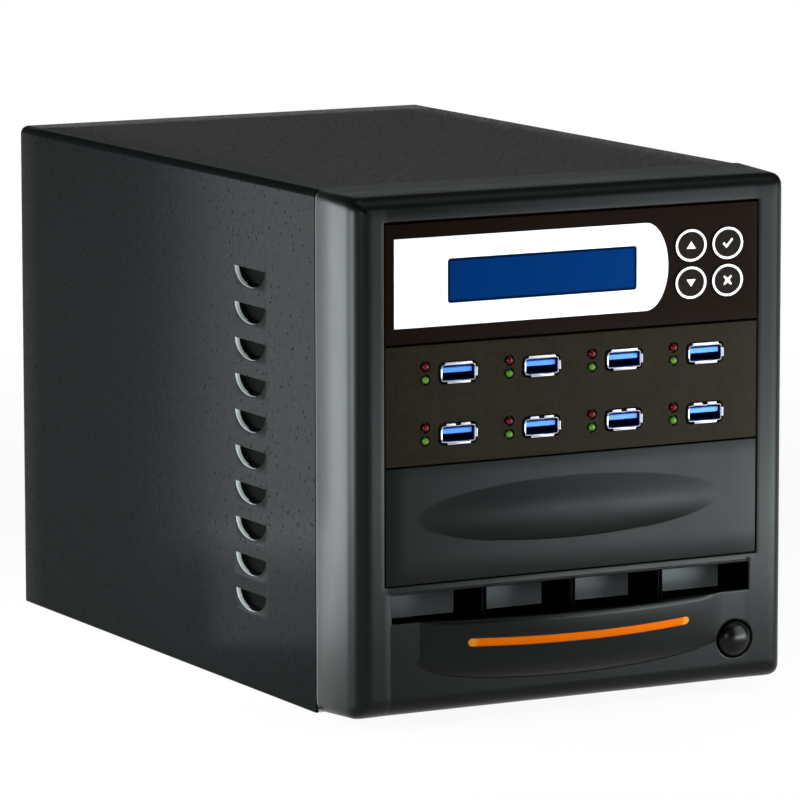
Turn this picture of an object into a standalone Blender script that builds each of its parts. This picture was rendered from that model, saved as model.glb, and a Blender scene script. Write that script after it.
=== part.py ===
"""A desktop flash drive duplicator, as separate named pieces at their real size.

Metres, +Z up. X runs across the front and Y runs back, so the front faces -Y. The origin
is on the floor, under the middle of the machine. Every piece hangs on one empty, whose
own origin is on the front plane at the cover's lower edge, so that a piece's Y is its
depth behind the bay faces and its Z is its height above the cover's edge.
"""

import math

import bmesh
import bpy
from mathutils import Matrix, Vector

MM = 0.001

# Fits
GAP = 0.3 * MM
OVERRUN = 1.0 * MM
WELD = 0.03 * MM

# Fineness of the round forms
SHARP_ANGLE = math.radians(35)
BEND_STEPS = 4
EDGE_STEPS = 5
CORNER_STEPS = 3

# Drive bays, from which the case takes its size
BAY_WIDTH = 148.0 * MM
DISPLAY_BAY_HEIGHT = 42.4 * MM
PORT_BAY_HEIGHT = 42.0 * MM
BLANK_BAY_HEIGHT = 41.0 * MM
BAY_PLATE = 3.0 * MM
BAY_ARM = 1.5 * MM
BAY_ARM_REACH = 45.0 * MM
BAY_ARM_INSET = 4.0 * MM

# Intake recess under the bays
RECESS_FLOOR = 34.5 * MM
RECESS_HEIGHT = 10.7 * MM
RECESS_DEPTH = 21.0 * MM
RECESS_LIP = 2.2 * MM
RECESS_SIDE = 2.9 * MM
RECESS_WALL = 1.4 * MM
FIN = 1.8 * MM
FIN_COUNT = 3
FIN_PITCH_SHARE = 0.237

# Case
SIDE_BORDER = 11.6 * MM
TOP_BORDER = 9.1 * MM
COVER_DEPTH = 243.0 * MM
COVER_BEND = 3.0 * MM
COVER_FLANGE = 10.0 * MM
SHEET = 0.8 * MM
SEAM_DEPTH = 29.0 * MM
TRAY_SIDE = 15.0 * MM
POST_RADIUS = 2.5 * MM
POST_HEIGHT = 10.0 * MM

# Bezel
BEZEL_PROUD = 0.3 * MM
BEZEL_RISE = 0.6 * MM
BEZEL_LIFT = 2.0 * MM
BEZEL_TOP_FALL = 1.5 * MM
BEZEL_ROUND = 6.0 * MM
BEZEL_WALL = 2.5 * MM
BEZEL_FRONT_WALL = 3.0 * MM
BOSS_RADIUS = 2.2 * MM

# Chin, the bulge under the recess
CHIN_SHARE = 0.408
CHIN_FORWARD = 9.3 * MM
CHIN_STEP = 0.9 * MM
CHIN_BOTTOM = 11.0 * MM
CHIN_SMILE = 8.7 * MM
CHIN_SINK = 0.1 * MM
CHIN_END_POWER = 16
CHIN_COLUMNS = 22
CHIN_ROWS = 6

# Light bar across the chin
BAR_SHARE = 0.731
BAR_HEIGHT = 2.6 * MM
BAR_MIDDLE = 25.8 * MM
BAR_LIFT = 0.8 * MM
BAR_PROUD = 0.5 * MM
BAR_DEPTH = 4.0 * MM
BAR_COLUMNS = 16
BAR_END_STEPS = (25, 50, 75)

# Power button and its switch
BUTTON_INSET = 20.1 * MM
BUTTON_Z = 17.2 * MM
BUTTON_RADIUS = 6.8 * MM
BUTTON_DOME = 3.8 * MM
BUTTON_SUNK = 0.6 * MM
BUTTON_FLANGE = 1.7 * MM
BUTTON_FLANGE_THICK = 1.6 * MM
BUTTON_STEM_RADIUS = 3.0 * MM
BUTTON_TRAVEL = 3.0 * MM
WELL_STEP = 4.0 * MM
WELL_DEPTH = 14.0 * MM
WELL_WALL = 1.7 * MM
SWITCH_DEPTH = 10.0 * MM
BUTTON_STEPS = 20
BUTTON_DOME_STEPS = 5

# Display panel
LABEL_INSET = 3.7 * MM
LABEL_TO_KEYS = 8.9 * MM
LABEL_BOW = 9.0 * MM
LABEL_HEIGHT = 30.7 * MM
LABEL_THICK = 0.5 * MM
LABEL_ARC_STEPS = 16
GLASS_INSET = 20.8 * MM
GLASS_TO_NOSE = 12.75 * MM
GLASS_HEIGHT = 15.1 * MM
GLASS_SUNK = 0.3 * MM
DISPLAY_MARGIN = 4.0 * MM
DISPLAY_DEPTH = 8.2 * MM

# Keys
KEY_INSET = 12.75 * MM
KEY_COLUMN_PITCH = 14.85 * MM
KEY_ROW_PITCH = 13.05 * MM
KEY_RADIUS = 6.0 * MM
KEY_PROUD = 0.6 * MM
KEY_EAR = 1.0 * MM
KEY_EAR_HEIGHT = 6.0 * MM
KEY_EAR_THICK = 1.2 * MM
KEY_STEM_RADIUS = 1.6 * MM
KEY_STEM = 1.2 * MM
KEY_TRAVEL = 0.8 * MM
KEY_STEPS = 20
KEY_BOARD_BOSS = 1.4 * MM
BOARD = 1.6 * MM

# Ports and lamps
PORT_COLUMNS = 4
PORT_PITCH_SHARE = 0.221
PORT_ROW_PITCH = 21.1 * MM
PORT_MIDDLE_X = 3.4 * MM
PORT_BODY_WIDTH = 13.1 * MM
PORT_BODY_HEIGHT = 5.7 * MM
PORT_FLARE_WIDTH = 14.9 * MM
PORT_FLARE_HEIGHT = 7.4 * MM
PORT_FLARE_BACK = 0.6 * MM
PORT_FLARE_CORNER = 1.2 * MM
PORT_SHELL = 0.3 * MM
PORT_PROUD = 0.9 * MM
PORT_DEPTH = 14.0 * MM
PORT_MOUTH_DEPTH = 9.5 * MM
TONGUE_WIDTH = 11.1 * MM
TONGUE_HEIGHT = 1.84 * MM
TONGUE_LIFT = 0.9 * MM
TONGUE_SUNK = 1.5 * MM
LAMP_RADIUS = 1.5 * MM
LAMP_PROUD = 1.3 * MM
LAMP_BODY = 4.3 * MM
LAMP_LEAD_RADIUS = 0.6 * MM
LAMP_OFFSET = 12.6 * MM
RED_LIFT = 2.75 * MM
GREEN_DROP = 1.85 * MM
LAMP_STEPS = 10
LAMP_DOME_STEPS = 2
PORT_BOARD_MARGIN = 3.7 * MM

# Blank bay cover
OVAL_X = 1.0 * MM
OVAL_RISE = 2.1 * MM
OVAL_SHARE = 0.4223
OVAL_HALF_HEIGHT = 10.9 * MM
OVAL_PROUD = 3.2 * MM
OVAL_SIDES = 24

# Louvres in both sides of the cover
LOUVRE_COUNT = 10
LOUVRE_LENGTH = 23.6 * MM
LOUVRE_MIDDLE = 78.6 * MM
LOUVRE_TOP_DROP = 32.65 * MM
LOUVRE_PITCH = 12.76 * MM
LOUVRE_DROP = 6.8 * MM
LOUVRE_DEPTH = 3.2 * MM
LOUVRE_SLIT = 0.2 * MM
LOUVRE_SIDES = 12

# Bay rails inside
RAIL = 1.2 * MM
RAIL_DEPTH = 160.0 * MM
RAIL_TOE = 8.0 * MM

# Feet
FOOT_HEIGHT = 3.0 * MM
FOOT_RADIUS = 7.0 * MM
FOOT_ROUND = 0.6 * MM
FOOT_INSET_X = 25.6 * MM
FOOT_INSET_Y = 32.0 * MM
FOOT_STEPS = 18
FOOT_EDGE_STEPS = 1

# Fan in the rear panel
FAN_SIDE_CLEAR = 5.6 * MM
FAN_TOP_CLEAR = 1.9 * MM
FAN_SIZE = 80.0 * MM
FAN_DEPTH = 25.0 * MM
FAN_CORNER = 4.0 * MM
FAN_RIM = 2.0 * MM
FAN_STRUT = 3.0 * MM
FAN_STRUT_THICK = 2.6 * MM
FAN_HUB_RADIUS = 15.0 * MM
FAN_HUB_INSET = 3.0 * MM
BLADE_COUNT = 7
BLADE_TIP_GAP = 1.0 * MM
BLADE_THICK = 1.2 * MM
BLADE_ROOT_CHORD = 12.0 * MM
BLADE_TIP_CHORD = 22.0 * MM
BLADE_ROOT_PITCH = 48
BLADE_TIP_PITCH = 24
BLADE_SWEEP = 12
BLADE_SECTIONS = 3
GUARD_WIRE = 1.4 * MM
GUARD_RINGS = 3
GUARD_BAR = 2.4 * MM
GUARD_EAR = 3.5 * MM
GUARD_HOLE_INSET = 4.25 * MM
GUARD_STEPS = 20
FAN_STEPS = 32

# Mains inlet with its rocker, in the rear panel
INLET_INSET = 40.6 * MM
INLET_Z = 50.0 * MM
INLET_WIDTH = 31.0 * MM
INLET_HEIGHT = 50.0 * MM
INLET_FLANGE = 3.0 * MM
INLET_BODY_INSET = 2.0 * MM
INLET_BODY_DEPTH = 22.0 * MM
SOCKET_WIDTH = 24.5 * MM
SOCKET_HEIGHT = 16.9 * MM
SOCKET_DEPTH = 17.0 * MM
SOCKET_MARGIN = 6.0 * MM
SOCKET_CORNER = 4.0 * MM
SOCKET_CORNER_STEPS = 1
PIN_WIDTH = 2.0 * MM
PIN_HEIGHT = 4.0 * MM
PIN_SUNK = 6.0 * MM
PIN_SPREAD = 7.0 * MM
PIN_STAGGER = 2.0 * MM
ROCKER_WIDTH = 14.0 * MM
ROCKER_HALF = 9.0 * MM
ROCKER_RISE = 3.6 * MM
ROCKER_DIP = 1.6 * MM
ROCKER_BACK = 4.0 * MM
ROCKER_BACK_HALF = 7.0 * MM
ROCKER_SUNK = 2.0 * MM
ROCKER_MARGIN = 3.6 * MM
ROCKER_TILT = math.radians(8)

# Screws that hold the cover at the rear
SCREW_HEAD_RADIUS = 3.0 * MM
SCREW_HEAD = 2.0 * MM
SCREW_RADIUS = 1.4 * MM
SCREW_REACH = 6.0 * MM
SCREW_LOW = 30.0 * MM
SCREW_HIGH = 150.0 * MM
SCREW_STEPS = 12

# Supply and control board inside
SUPPLY_WIDTH = 80.0 * MM
SUPPLY_HEIGHT = 63.5 * MM
SUPPLY_INSET = 2.0 * MM
SUPPLY_TO_BOARD = 7.0 * MM
SUPPLY_TO_INLET = 2.0 * MM
CONTROL_WIDTH = 110.0 * MM
CONTROL_DEPTH = 90.0 * MM
CONTROL_FRONT = 20.0 * MM
POST_INSET = 5.0 * MM

# Worked out from the sizes above
APERTURE_HALF = BAY_WIDTH / 2
APERTURE_BOTTOM = RECESS_FLOOR + RECESS_HEIGHT + RECESS_LIP
PORT_BAY_BOTTOM = APERTURE_BOTTOM + BLANK_BAY_HEIGHT
DISPLAY_BAY_BOTTOM = PORT_BAY_BOTTOM + PORT_BAY_HEIGHT
APERTURE_TOP = DISPLAY_BAY_BOTTOM + DISPLAY_BAY_HEIGHT
COVER_HALF = APERTURE_HALF + SIDE_BORDER
FIN_PITCH = BAY_WIDTH * FIN_PITCH_SHARE
CHIN_HALF = BAY_WIDTH * CHIN_SHARE
BAR_HALF = CHIN_HALF * BAR_SHARE
PORT_COLUMN_PITCH = BAY_WIDTH * PORT_PITCH_SHARE
OVAL_HALF_WIDTH = BAY_WIDTH * OVAL_SHARE
BUTTON_X = COVER_HALF - BUTTON_INSET
KEY_RIGHT = APERTURE_HALF - KEY_INSET
KEY_LEFT = KEY_RIGHT - KEY_COLUMN_PITCH
LABEL_LEFT = LABEL_INSET - APERTURE_HALF
LABEL_NOSE = KEY_LEFT - LABEL_TO_KEYS
GLASS_LEFT = LABEL_LEFT + GLASS_INSET
GLASS_RIGHT = LABEL_NOSE - GLASS_TO_NOSE
FAN_X = COVER_FLANGE + FAN_SIDE_CLEAR + FAN_SIZE / 2 - COVER_HALF
INLET_X = COVER_HALF - INLET_INSET
COVER_HEIGHT = APERTURE_TOP + TOP_BORDER
FAN_Z = COVER_HEIGHT - COVER_FLANGE - FAN_TOP_CLEAR - FAN_SIZE / 2
COVER_FRONT = SEAM_DEPTH + GAP / 2
COVER_REAR = SEAM_DEPTH + COVER_DEPTH
BEZEL_REAR = SEAM_DEPTH - GAP / 2
INNER_HALF = COVER_HALF - SHEET - GAP
INNER_TOP = COVER_HEIGHT - SHEET - GAP
PANEL_REAR = COVER_REAR - SHEET - GAP
PANEL_FRONT = PANEL_REAR - SHEET
PLATE_HALF = APERTURE_HALF - GAP
DISPLAY_MIDDLE = DISPLAY_BAY_BOTTOM + DISPLAY_BAY_HEIGHT / 2
PORT_MIDDLE_Z = PORT_BAY_BOTTOM + PORT_BAY_HEIGHT / 2
BUTTON_BORE = BUTTON_RADIUS + GAP
WELL_RADIUS = BUTTON_RADIUS + BUTTON_FLANGE + GAP
KEY_REAR = BAY_PLATE + GAP + KEY_EAR_THICK + KEY_STEM
KEY_BOARD_FRONT = KEY_REAR + KEY_TRAVEL + GAP
FAN_BORE = FAN_SIZE / 2 - FAN_RIM
FAN_REAR = PANEL_FRONT - GAP
FAN_FRONT = FAN_REAR - FAN_DEPTH
INLET_FACE = PANEL_REAR + GAP + INLET_FLANGE
ROCKER_AXIS_Y = INLET_FACE - ROCKER_SUNK
ROCKER_RADIUS = math.hypot(ROCKER_HALF, ROCKER_RISE)
ROCKER_AXIS_Z = INLET_Z + INLET_HEIGHT / 2 - ROCKER_MARGIN - ROCKER_RADIUS
ROCKER_REACH = ROCKER_RISE * math.cos(ROCKER_TILT) + ROCKER_HALF * math.sin(ROCKER_TILT)
CONTROL_NEAR = COVER_FRONT + SHEET + CONTROL_FRONT
CONTROL_REAR = CONTROL_NEAR + CONTROL_DEPTH
SUPPLY_REAR = PANEL_REAR - INLET_BODY_DEPTH - SUPPLY_TO_INLET
FRONT = (CHIN_FORWARD - ROCKER_AXIS_Y - ROCKER_REACH) / 2

PARTS = bpy.data.collections.new("flash_drive_duplicator")
CUTTERS = bpy.data.collections.new("cutters")


def clear_scene():
    """Removes what the scene holds and hangs the two collections in it."""
    for thing in list(bpy.data.objects):
        bpy.data.objects.remove(thing, do_unlink=True)
    bpy.context.scene.collection.children.link(PARTS)
    bpy.context.scene.collection.children.link(CUTTERS)
    CUTTERS.hide_render = True


def add_origin():
    """The empty that every piece hangs on, on the front plane at the cover's edge."""
    origin = bpy.data.objects.new("case_origin", None)
    origin.location = (0, FRONT, FOOT_HEIGHT)
    PARTS.objects.link(origin)
    return origin


def make_material(name, colour, roughness, metallic=0.0, opacity=1.0):
    """A plain Principled material."""
    material = bpy.data.materials.new(name)
    material.use_nodes = True
    shader = material.node_tree.nodes["Principled BSDF"]
    shader.inputs["Base Color"].default_value = (*colour, 1.0)
    shader.inputs["Roughness"].default_value = roughness
    shader.inputs["Metallic"].default_value = metallic
    shader.inputs["Alpha"].default_value = opacity
    return material


def make_materials():
    """All finishes, by the name of what they are used on."""
    return {
        "cover": make_material("black_powder_coat", (0.035, 0.036, 0.038), 0.55),
        "steel": make_material("zinc_plated_steel", (0.52, 0.53, 0.54), 0.38, 1.0),
        "bezel": make_material("black_moulded_plastic", (0.033, 0.036, 0.038), 0.5),
        "plate": make_material("black_face_plastic", (0.016, 0.012, 0.011), 0.4),
        "label": make_material("white_label", (0.86, 0.87, 0.88), 0.45),
        "glass": make_material("blue_display_glass", (0.0, 0.033, 0.17), 0.15),
        "key": make_material("key_cap", (0.02, 0.015, 0.014), 0.4),
        "port": make_material("port_shell", (0.74, 0.73, 0.80), 0.25, 1.0),
        "red": make_material("red_lamp", (0.30, 0.01, 0.01), 0.2),
        "green": make_material("green_lamp", (0.05, 0.28, 0.02), 0.2),
        "bar": make_material("orange_light_bar", (0.80, 0.20, 0.01), 0.35),
        "button": make_material("gloss_button", (0.02, 0.02, 0.022), 0.2),
        "board": make_material("circuit_board", (0.02, 0.14, 0.05), 0.5),
        "rubber": make_material("foot_rubber", (0.02, 0.02, 0.02), 0.85),
        "fan": make_material("fan_plastic", (0.02, 0.02, 0.022), 0.45),
        "wire": make_material("plated_wire", (0.62, 0.62, 0.63), 0.25, 1.0),
    }


def block(low, high):
    """A box between two opposite corners."""
    shape = bmesh.new()
    bmesh.ops.create_cube(shape, size=1.0)
    for vertex in shape.verts:
        vertex.co = [high[axis] if vertex.co[axis] > 0 else low[axis] for axis in range(3)]
    return shape


def drum(radius, front, rear, centre=(0, 0), steps=FAN_STEPS):
    """A cylinder along Y, centred on an X and a Z."""
    shape = bmesh.new()
    middle = Matrix.Translation((centre[0], (front + rear) / 2, centre[1]))
    bmesh.ops.create_cone(
        shape,
        cap_ends=True,
        segments=steps,
        radius1=radius,
        radius2=radius,
        depth=rear - front,
        matrix=middle @ Matrix.Rotation(math.radians(90), 4, "X"),
    )
    return shape


def post(radius, low, high, centre, steps=SCREW_STEPS):
    """An upright cylinder, centred on an X and a Y."""
    shape = bmesh.new()
    bmesh.ops.create_cone(
        shape,
        cap_ends=True,
        segments=steps,
        radius1=radius,
        radius2=radius,
        depth=high - low,
        matrix=Matrix.Translation((centre[0], centre[1], (low + high) / 2)),
    )
    return shape


def loft(rings):
    """A closed solid through rings of equally many points, with flat ends."""
    shape = bmesh.new()
    loops = [[shape.verts.new(point) for point in ring] for ring in rings]
    for first, second in zip(loops, loops[1:]):
        for index, corner in enumerate(first):
            after = (index + 1) % len(first)
            shape.faces.new((corner, first[after], second[after], second[index]))
    shape.faces.new(loops[0])
    shape.faces.new(loops[-1])
    return shape


def gathered(*shapes):
    """Several separate solids in one shape."""
    whole = bmesh.new()
    for shape in shapes:
        mesh = bpy.data.meshes.new("gathered")
        bmesh.ops.recalc_face_normals(shape, faces=shape.faces)
        shape.to_mesh(mesh)
        shape.free()
        whole.from_mesh(mesh)
        bpy.data.meshes.remove(mesh)
    return whole


def rounded(shape, radius, steps, chosen):
    """Rounds the edges for which chosen says yes."""
    bmesh.ops.bevel(
        shape,
        geom=[edge for edge in shape.edges if chosen(edge)],
        offset=radius,
        offset_type="OFFSET",
        segments=steps,
        profile=0.5,
        affect="EDGES",
    )
    return shape


def runs_along(axis):
    """Says yes to the edges that run along one axis."""
    others = [index for index in range(3) if index != axis]

    def chosen(edge):
        run = edge.verts[1].co - edge.verts[0].co
        return all(abs(run[index]) < abs(run[axis]) for index in others)

    return chosen


def grid(columns, rows):
    """Every pair of an X and a Z."""
    return [(x, z) for x in columns for z in rows]


def mesh_of(name, shape):
    """A mesh from a shape, faces out and smooth where it is round."""
    mesh = bpy.data.meshes.new(name)
    bmesh.ops.recalc_face_normals(shape, faces=shape.faces)
    shape.to_mesh(mesh)
    shape.free()
    mesh.shade_smooth()
    mesh.set_sharp_from_angle(angle=SHARP_ANGLE)
    return mesh


def piece(name, mesh, look, origin, place=(0, 0, 0)):
    """One sub-part, with its material, hung on the origin empty."""
    if look.name not in mesh.materials:
        mesh.materials.append(look)
    thing = bpy.data.objects.new(name, mesh)
    thing.location = place
    thing.parent = origin
    PARTS.objects.link(thing)
    return thing


def combine(thing, operation, shape):
    """Joins a shape to a piece or cuts it out; the shape has the piece's own frame."""
    label = f"{operation.lower()}_{len(thing.modifiers)}"
    helper = bpy.data.objects.new(f"{thing.name}_{label}", mesh_of("helper", shape))
    helper.location = thing.location
    helper.rotation_euler = thing.rotation_euler
    helper.parent = thing.parent
    helper.hide_render = True
    helper.display_type = "WIRE"
    CUTTERS.objects.link(helper)
    modifier = thing.modifiers.new(label, "BOOLEAN")
    modifier.operation = operation
    modifier.object = helper


def join(thing, *shapes):
    combine(thing, "UNION", gathered(*shapes))


def cut(thing, *shapes):
    combine(thing, "DIFFERENCE", gathered(*shapes))


def profile_mesh(name, profile):
    """An open profile of radii and heights, top to bottom, for the Screw modifier."""
    shape = bmesh.new()
    points = [shape.verts.new((radius, 0, height)) for radius, height in profile]
    for upper, lower in zip(points, points[1:]):
        shape.edges.new((upper, lower))
    mesh = bpy.data.meshes.new(name)
    shape.to_mesh(mesh)
    shape.free()
    return mesh


def spin(thing, steps):
    """Turns a piece's profile about its own Z."""
    screw = thing.modifiers.new("turn", "SCREW")
    screw.axis = "Z"
    screw.steps = steps
    screw.render_steps = steps
    screw.use_merge_vertices = True
    screw.merge_threshold = WELD
    screw.use_smooth_shade = True


def dome(radius, height, base, steps):
    """Profile points of a dome from its tip down to its rim."""
    points = []
    for index in range(steps):
        angle = math.pi / 2 * (1 - index / steps)
        points.append((radius * math.cos(angle), base + height * math.sin(angle)))
    return points + [(radius, base)]


def chin_across(x):
    """How far the chin bulges at its lip: a parabola over a low step with round ends."""
    share = min(abs(x) / CHIN_HALF, 1)
    swell = CHIN_STEP + (CHIN_FORWARD - CHIN_STEP) * (1 - share**2)
    return swell * math.sqrt(1 - share**CHIN_END_POWER)


def chin_edge(x):
    """Height of the chin's lower edge, a smile that is half an ellipse."""
    share = min(abs(x) / CHIN_HALF, 1)
    return CHIN_BOTTOM + CHIN_SMILE * (1 - math.sqrt(1 - share**2))


def chin_forward(x, z):
    """How far the chin stands before the front plane, a quarter ellipse up to its lip."""
    edge = chin_edge(x)
    share = (z - edge) / (RECESS_FLOOR - edge)
    share = min(max(share, 0), 1)
    return chin_across(x) * math.sqrt(1 - (1 - share) ** 2)


def chin_shape(inset, side_inset, back):
    """The chin as a solid, drawn in all round by the inset, from its skin to a back plane."""
    rings = []
    half = CHIN_HALF - side_inset
    for column in range(CHIN_COLUMNS + 1):
        x = half * math.sin(math.pi * (column / CHIN_COLUMNS - 1 / 2))
        low = chin_edge(x) + inset
        high = RECESS_FLOOR - inset
        ring = [(x, back, low)]
        for row in range(CHIN_ROWS + 1):
            z = low + (high - low) * (1 - math.cos(math.pi / 2 * row / CHIN_ROWS))
            forward = chin_forward(x, z)
            sunk = CHIN_SINK * (1 - forward / CHIN_FORWARD)
            ring.append((x, inset + sunk - forward, z))
        ring.append((x, back, high))
        rings.append(ring)
    return loft(rings)


def bar_shape(margin, proud, behind):
    """The light bar, which follows the chin's skin, grown by a margin in its outline."""
    radius = BAR_HEIGHT / 2
    straight = BAR_HALF - radius
    rise = [(straight * (2 * column / BAR_COLUMNS - 1), 1) for column in range(BAR_COLUMNS + 1)]
    tips = [math.radians(angle) for angle in BAR_END_STEPS]
    right = [(straight + (radius + margin) * math.sin(tip), math.cos(tip)) for tip in tips]
    left = [(-x, share) for x, share in reversed(right)]
    rings = []
    for x, share in left + rise + right:
        middle = BAR_MIDDLE + BAR_LIFT * (x / BAR_HALF) ** 2
        low = middle - (radius + margin) * share
        high = middle + (radius + margin) * share
        face = max(chin_forward(x, low), chin_forward(x, high))
        rings.append(
            [
                (x, -chin_forward(x, low) - proud, low),
                (x, -chin_forward(x, high) - proud, high),
                (x, behind - face, high),
                (x, behind - face, low),
            ]
        )
    return loft(rings)


def louvre(depth, length, drop, wall, slit):
    """The lower half of an ellipsoid, at the origin, with its flat top raised by the slit."""
    shape = bmesh.new()
    bmesh.ops.create_uvsphere(shape, u_segments=LOUVRE_SIDES, v_segments=LOUVRE_SIDES // 2, radius=1)
    everything = shape.verts[:] + shape.edges[:] + shape.faces[:]
    bmesh.ops.bisect_plane(
        shape, geom=everything, dist=WELD, plane_co=(0, 0, 0), plane_no=(0, 0, 1), clear_outer=True
    )
    bmesh.ops.holes_fill(shape, edges=[edge for edge in shape.edges if edge.is_boundary])
    half = length / 2
    for vertex in shape.verts:
        on_top = vertex.co.z > -GAP
        scaled = Vector((depth + wall, half + wall, drop + wall)) * vertex.co
        vertex.co = scaled
        if on_top:
            vertex.co.z = slit
    return shape


def add_cover(looks, origin):
    """The folded sheet: top, both sides, flanges at the rear and pressed-in louvres."""
    shape = block((-COVER_HALF, COVER_FRONT, 0), (COVER_HALF, COVER_REAR, COVER_HEIGHT))
    along_y = runs_along(1)
    rounded(shape, COVER_BEND, BEND_STEPS, lambda edge: along_y(edge) and edge.verts[0].co.z > 0)
    open_ends = [
        face
        for face in shape.faces
        if max(end.co.y for end in face.verts) < COVER_FRONT + WELD
        or max(end.co.z for end in face.verts) < WELD
    ]
    bmesh.ops.delete(shape, geom=open_ends, context="FACES")
    cover = piece("top_cover", mesh_of("top_cover", shape), looks["cover"], origin)
    wall = cover.modifiers.new("sheet", "SOLIDIFY")
    wall.thickness = SHEET
    wall.offset = -1
    wall.use_even_offset = True
    window = COVER_HALF - COVER_FLANGE
    opening = block(
        (-window, COVER_REAR - SHEET - OVERRUN, -OVERRUN),
        (window, COVER_REAR + OVERRUN, COVER_HEIGHT - COVER_FLANGE),
    )
    holes = [
        drum(SCREW_RADIUS + GAP, COVER_REAR - SHEET - OVERRUN, COVER_REAR + OVERRUN, spot, SCREW_STEPS)
        for spot in screw_spots()
    ]
    cut(cover, opening, *holes)
    bumps = []
    dishes = []
    for side in (-1, 1):
        for number in range(LOUVRE_COUNT):
            top = COVER_HEIGHT - LOUVRE_TOP_DROP - number * LOUVRE_PITCH
            place = Matrix.Translation((side * COVER_HALF, LOUVRE_MIDDLE, top))
            bump = louvre(LOUVRE_DEPTH, LOUVRE_LENGTH, LOUVRE_DROP, SHEET, 0)
            everything = bump.verts[:] + bump.edges[:] + bump.faces[:]
            bmesh.ops.bisect_plane(
                bump,
                geom=everything,
                dist=WELD,
                plane_co=(-side * SHEET / 2, 0, 0),
                plane_no=(side, 0, 0),
                clear_outer=True,
            )
            bmesh.ops.holes_fill(bump, edges=[edge for edge in bump.edges if edge.is_boundary])
            dish = louvre(LOUVRE_DEPTH, LOUVRE_LENGTH, LOUVRE_DROP, 0, LOUVRE_SLIT)
            bump.transform(place)
            dish.transform(place)
            bumps.append(bump)
            dishes.append(dish)
    join(cover, *bumps)
    cut(cover, *dishes)


def screw_spots():
    """Where the rear screws go: near the rear flanges' middles."""
    column = COVER_HALF - COVER_FLANGE / 2
    return grid((-column, column), (SCREW_LOW, SCREW_HIGH))


def post_spots():
    """Where the control board's posts stand, near its corners."""
    half = CONTROL_WIDTH / 2 - POST_INSET
    return grid((-half, half), (CONTROL_NEAR + POST_INSET, CONTROL_REAR - POST_INSET))


def add_chassis(looks, origin):
    """The tray: floor, low sides, a front plate with the bay window, and board posts."""
    floor = block((-INNER_HALF, COVER_FRONT, 0), (INNER_HALF, PANEL_REAR, SHEET))
    chassis = piece("chassis_base", mesh_of("chassis_base", floor), looks["steel"], origin)
    plate = block((-INNER_HALF, COVER_FRONT, 0), (INNER_HALF, COVER_FRONT + SHEET, INNER_TOP))
    along_y = runs_along(1)
    rounded(plate, COVER_BEND, CORNER_STEPS, lambda edge: along_y(edge) and edge.verts[0].co.z > 0)
    join(chassis, plate)
    for side in (-1, 1):
        edges = sorted((side * INNER_HALF, side * (INNER_HALF - SHEET)))
        join(chassis, block((edges[0], COVER_FRONT, 0), (edges[1], PANEL_FRONT - GAP, TRAY_SIDE)))
    join(chassis, *[post(POST_RADIUS, SHEET / 2, POST_HEIGHT, spot) for spot in post_spots()])
    window = block(
        (-APERTURE_HALF, COVER_FRONT - OVERRUN, APERTURE_BOTTOM),
        (APERTURE_HALF, COVER_FRONT + SHEET + OVERRUN, APERTURE_TOP),
    )
    cut(chassis, window)


def add_rear_panel(looks, origin):
    """The plate between the cover's rear flanges, open for the fan and the inlet."""
    shape = block((-INNER_HALF, PANEL_FRONT, SHEET + GAP), (INNER_HALF, PANEL_REAR, INNER_TOP))
    along_y = runs_along(1)
    middle = INNER_TOP / 2
    rounded(shape, COVER_BEND, CORNER_STEPS, lambda edge: along_y(edge) and edge.verts[0].co.z > middle)
    panel = piece("rear_panel", mesh_of("rear_panel", shape), looks["steel"], origin)
    front = PANEL_FRONT - OVERRUN
    rear = PANEL_REAR + OVERRUN
    holes = [drum(SCREW_RADIUS + GAP, front, rear, spot, SCREW_STEPS) for spot in screw_spots()]
    body_x = INLET_WIDTH / 2 - INLET_BODY_INSET + GAP
    body_z = INLET_HEIGHT / 2 - INLET_BODY_INSET + GAP
    inlet = block(
        (INLET_X - body_x, front, INLET_Z - body_z),
        (INLET_X + body_x, rear, INLET_Z + body_z),
    )
    cut(panel, drum(FAN_BORE, front, rear, (FAN_X, FAN_Z)), inlet, *holes)


def bezel_block(inset, front, rear):
    """The bezel's outer form, drawn in by the inset, with its front edges rounded."""
    half = COVER_HALF + BEZEL_PROUD - inset
    top = COVER_HEIGHT + BEZEL_RISE - inset
    shape = block((-half, front, BEZEL_LIFT + inset), (half, rear, top))
    for vertex in shape.verts:
        at_front = vertex.co.y < (front + rear) / 2
        if inset or at_front:
            vertex.co.z -= BEZEL_TOP_FALL if vertex.co.z > top / 2 else 0
    return rounded(
        shape,
        BEZEL_ROUND - inset,
        EDGE_STEPS,
        lambda edge: min(vertex.co.y for vertex in edge.verts) < (front + rear) / 2,
    )


def recess_cells():
    """The recess as cells, with the fins and the back wall left between and behind."""
    half = APERTURE_HALF - RECESS_SIDE
    fins = [(number - (FIN_COUNT - 1) / 2) * FIN_PITCH for number in range(FIN_COUNT)]
    lefts = [-half] + [fin + FIN / 2 for fin in fins]
    rights = [fin - FIN / 2 for fin in fins] + [half]
    top = RECESS_FLOOR + RECESS_HEIGHT
    return [
        block((left, -OVERRUN, RECESS_FLOOR), (right, RECESS_DEPTH, top))
        for left, right in zip(lefts, rights)
    ]


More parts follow.
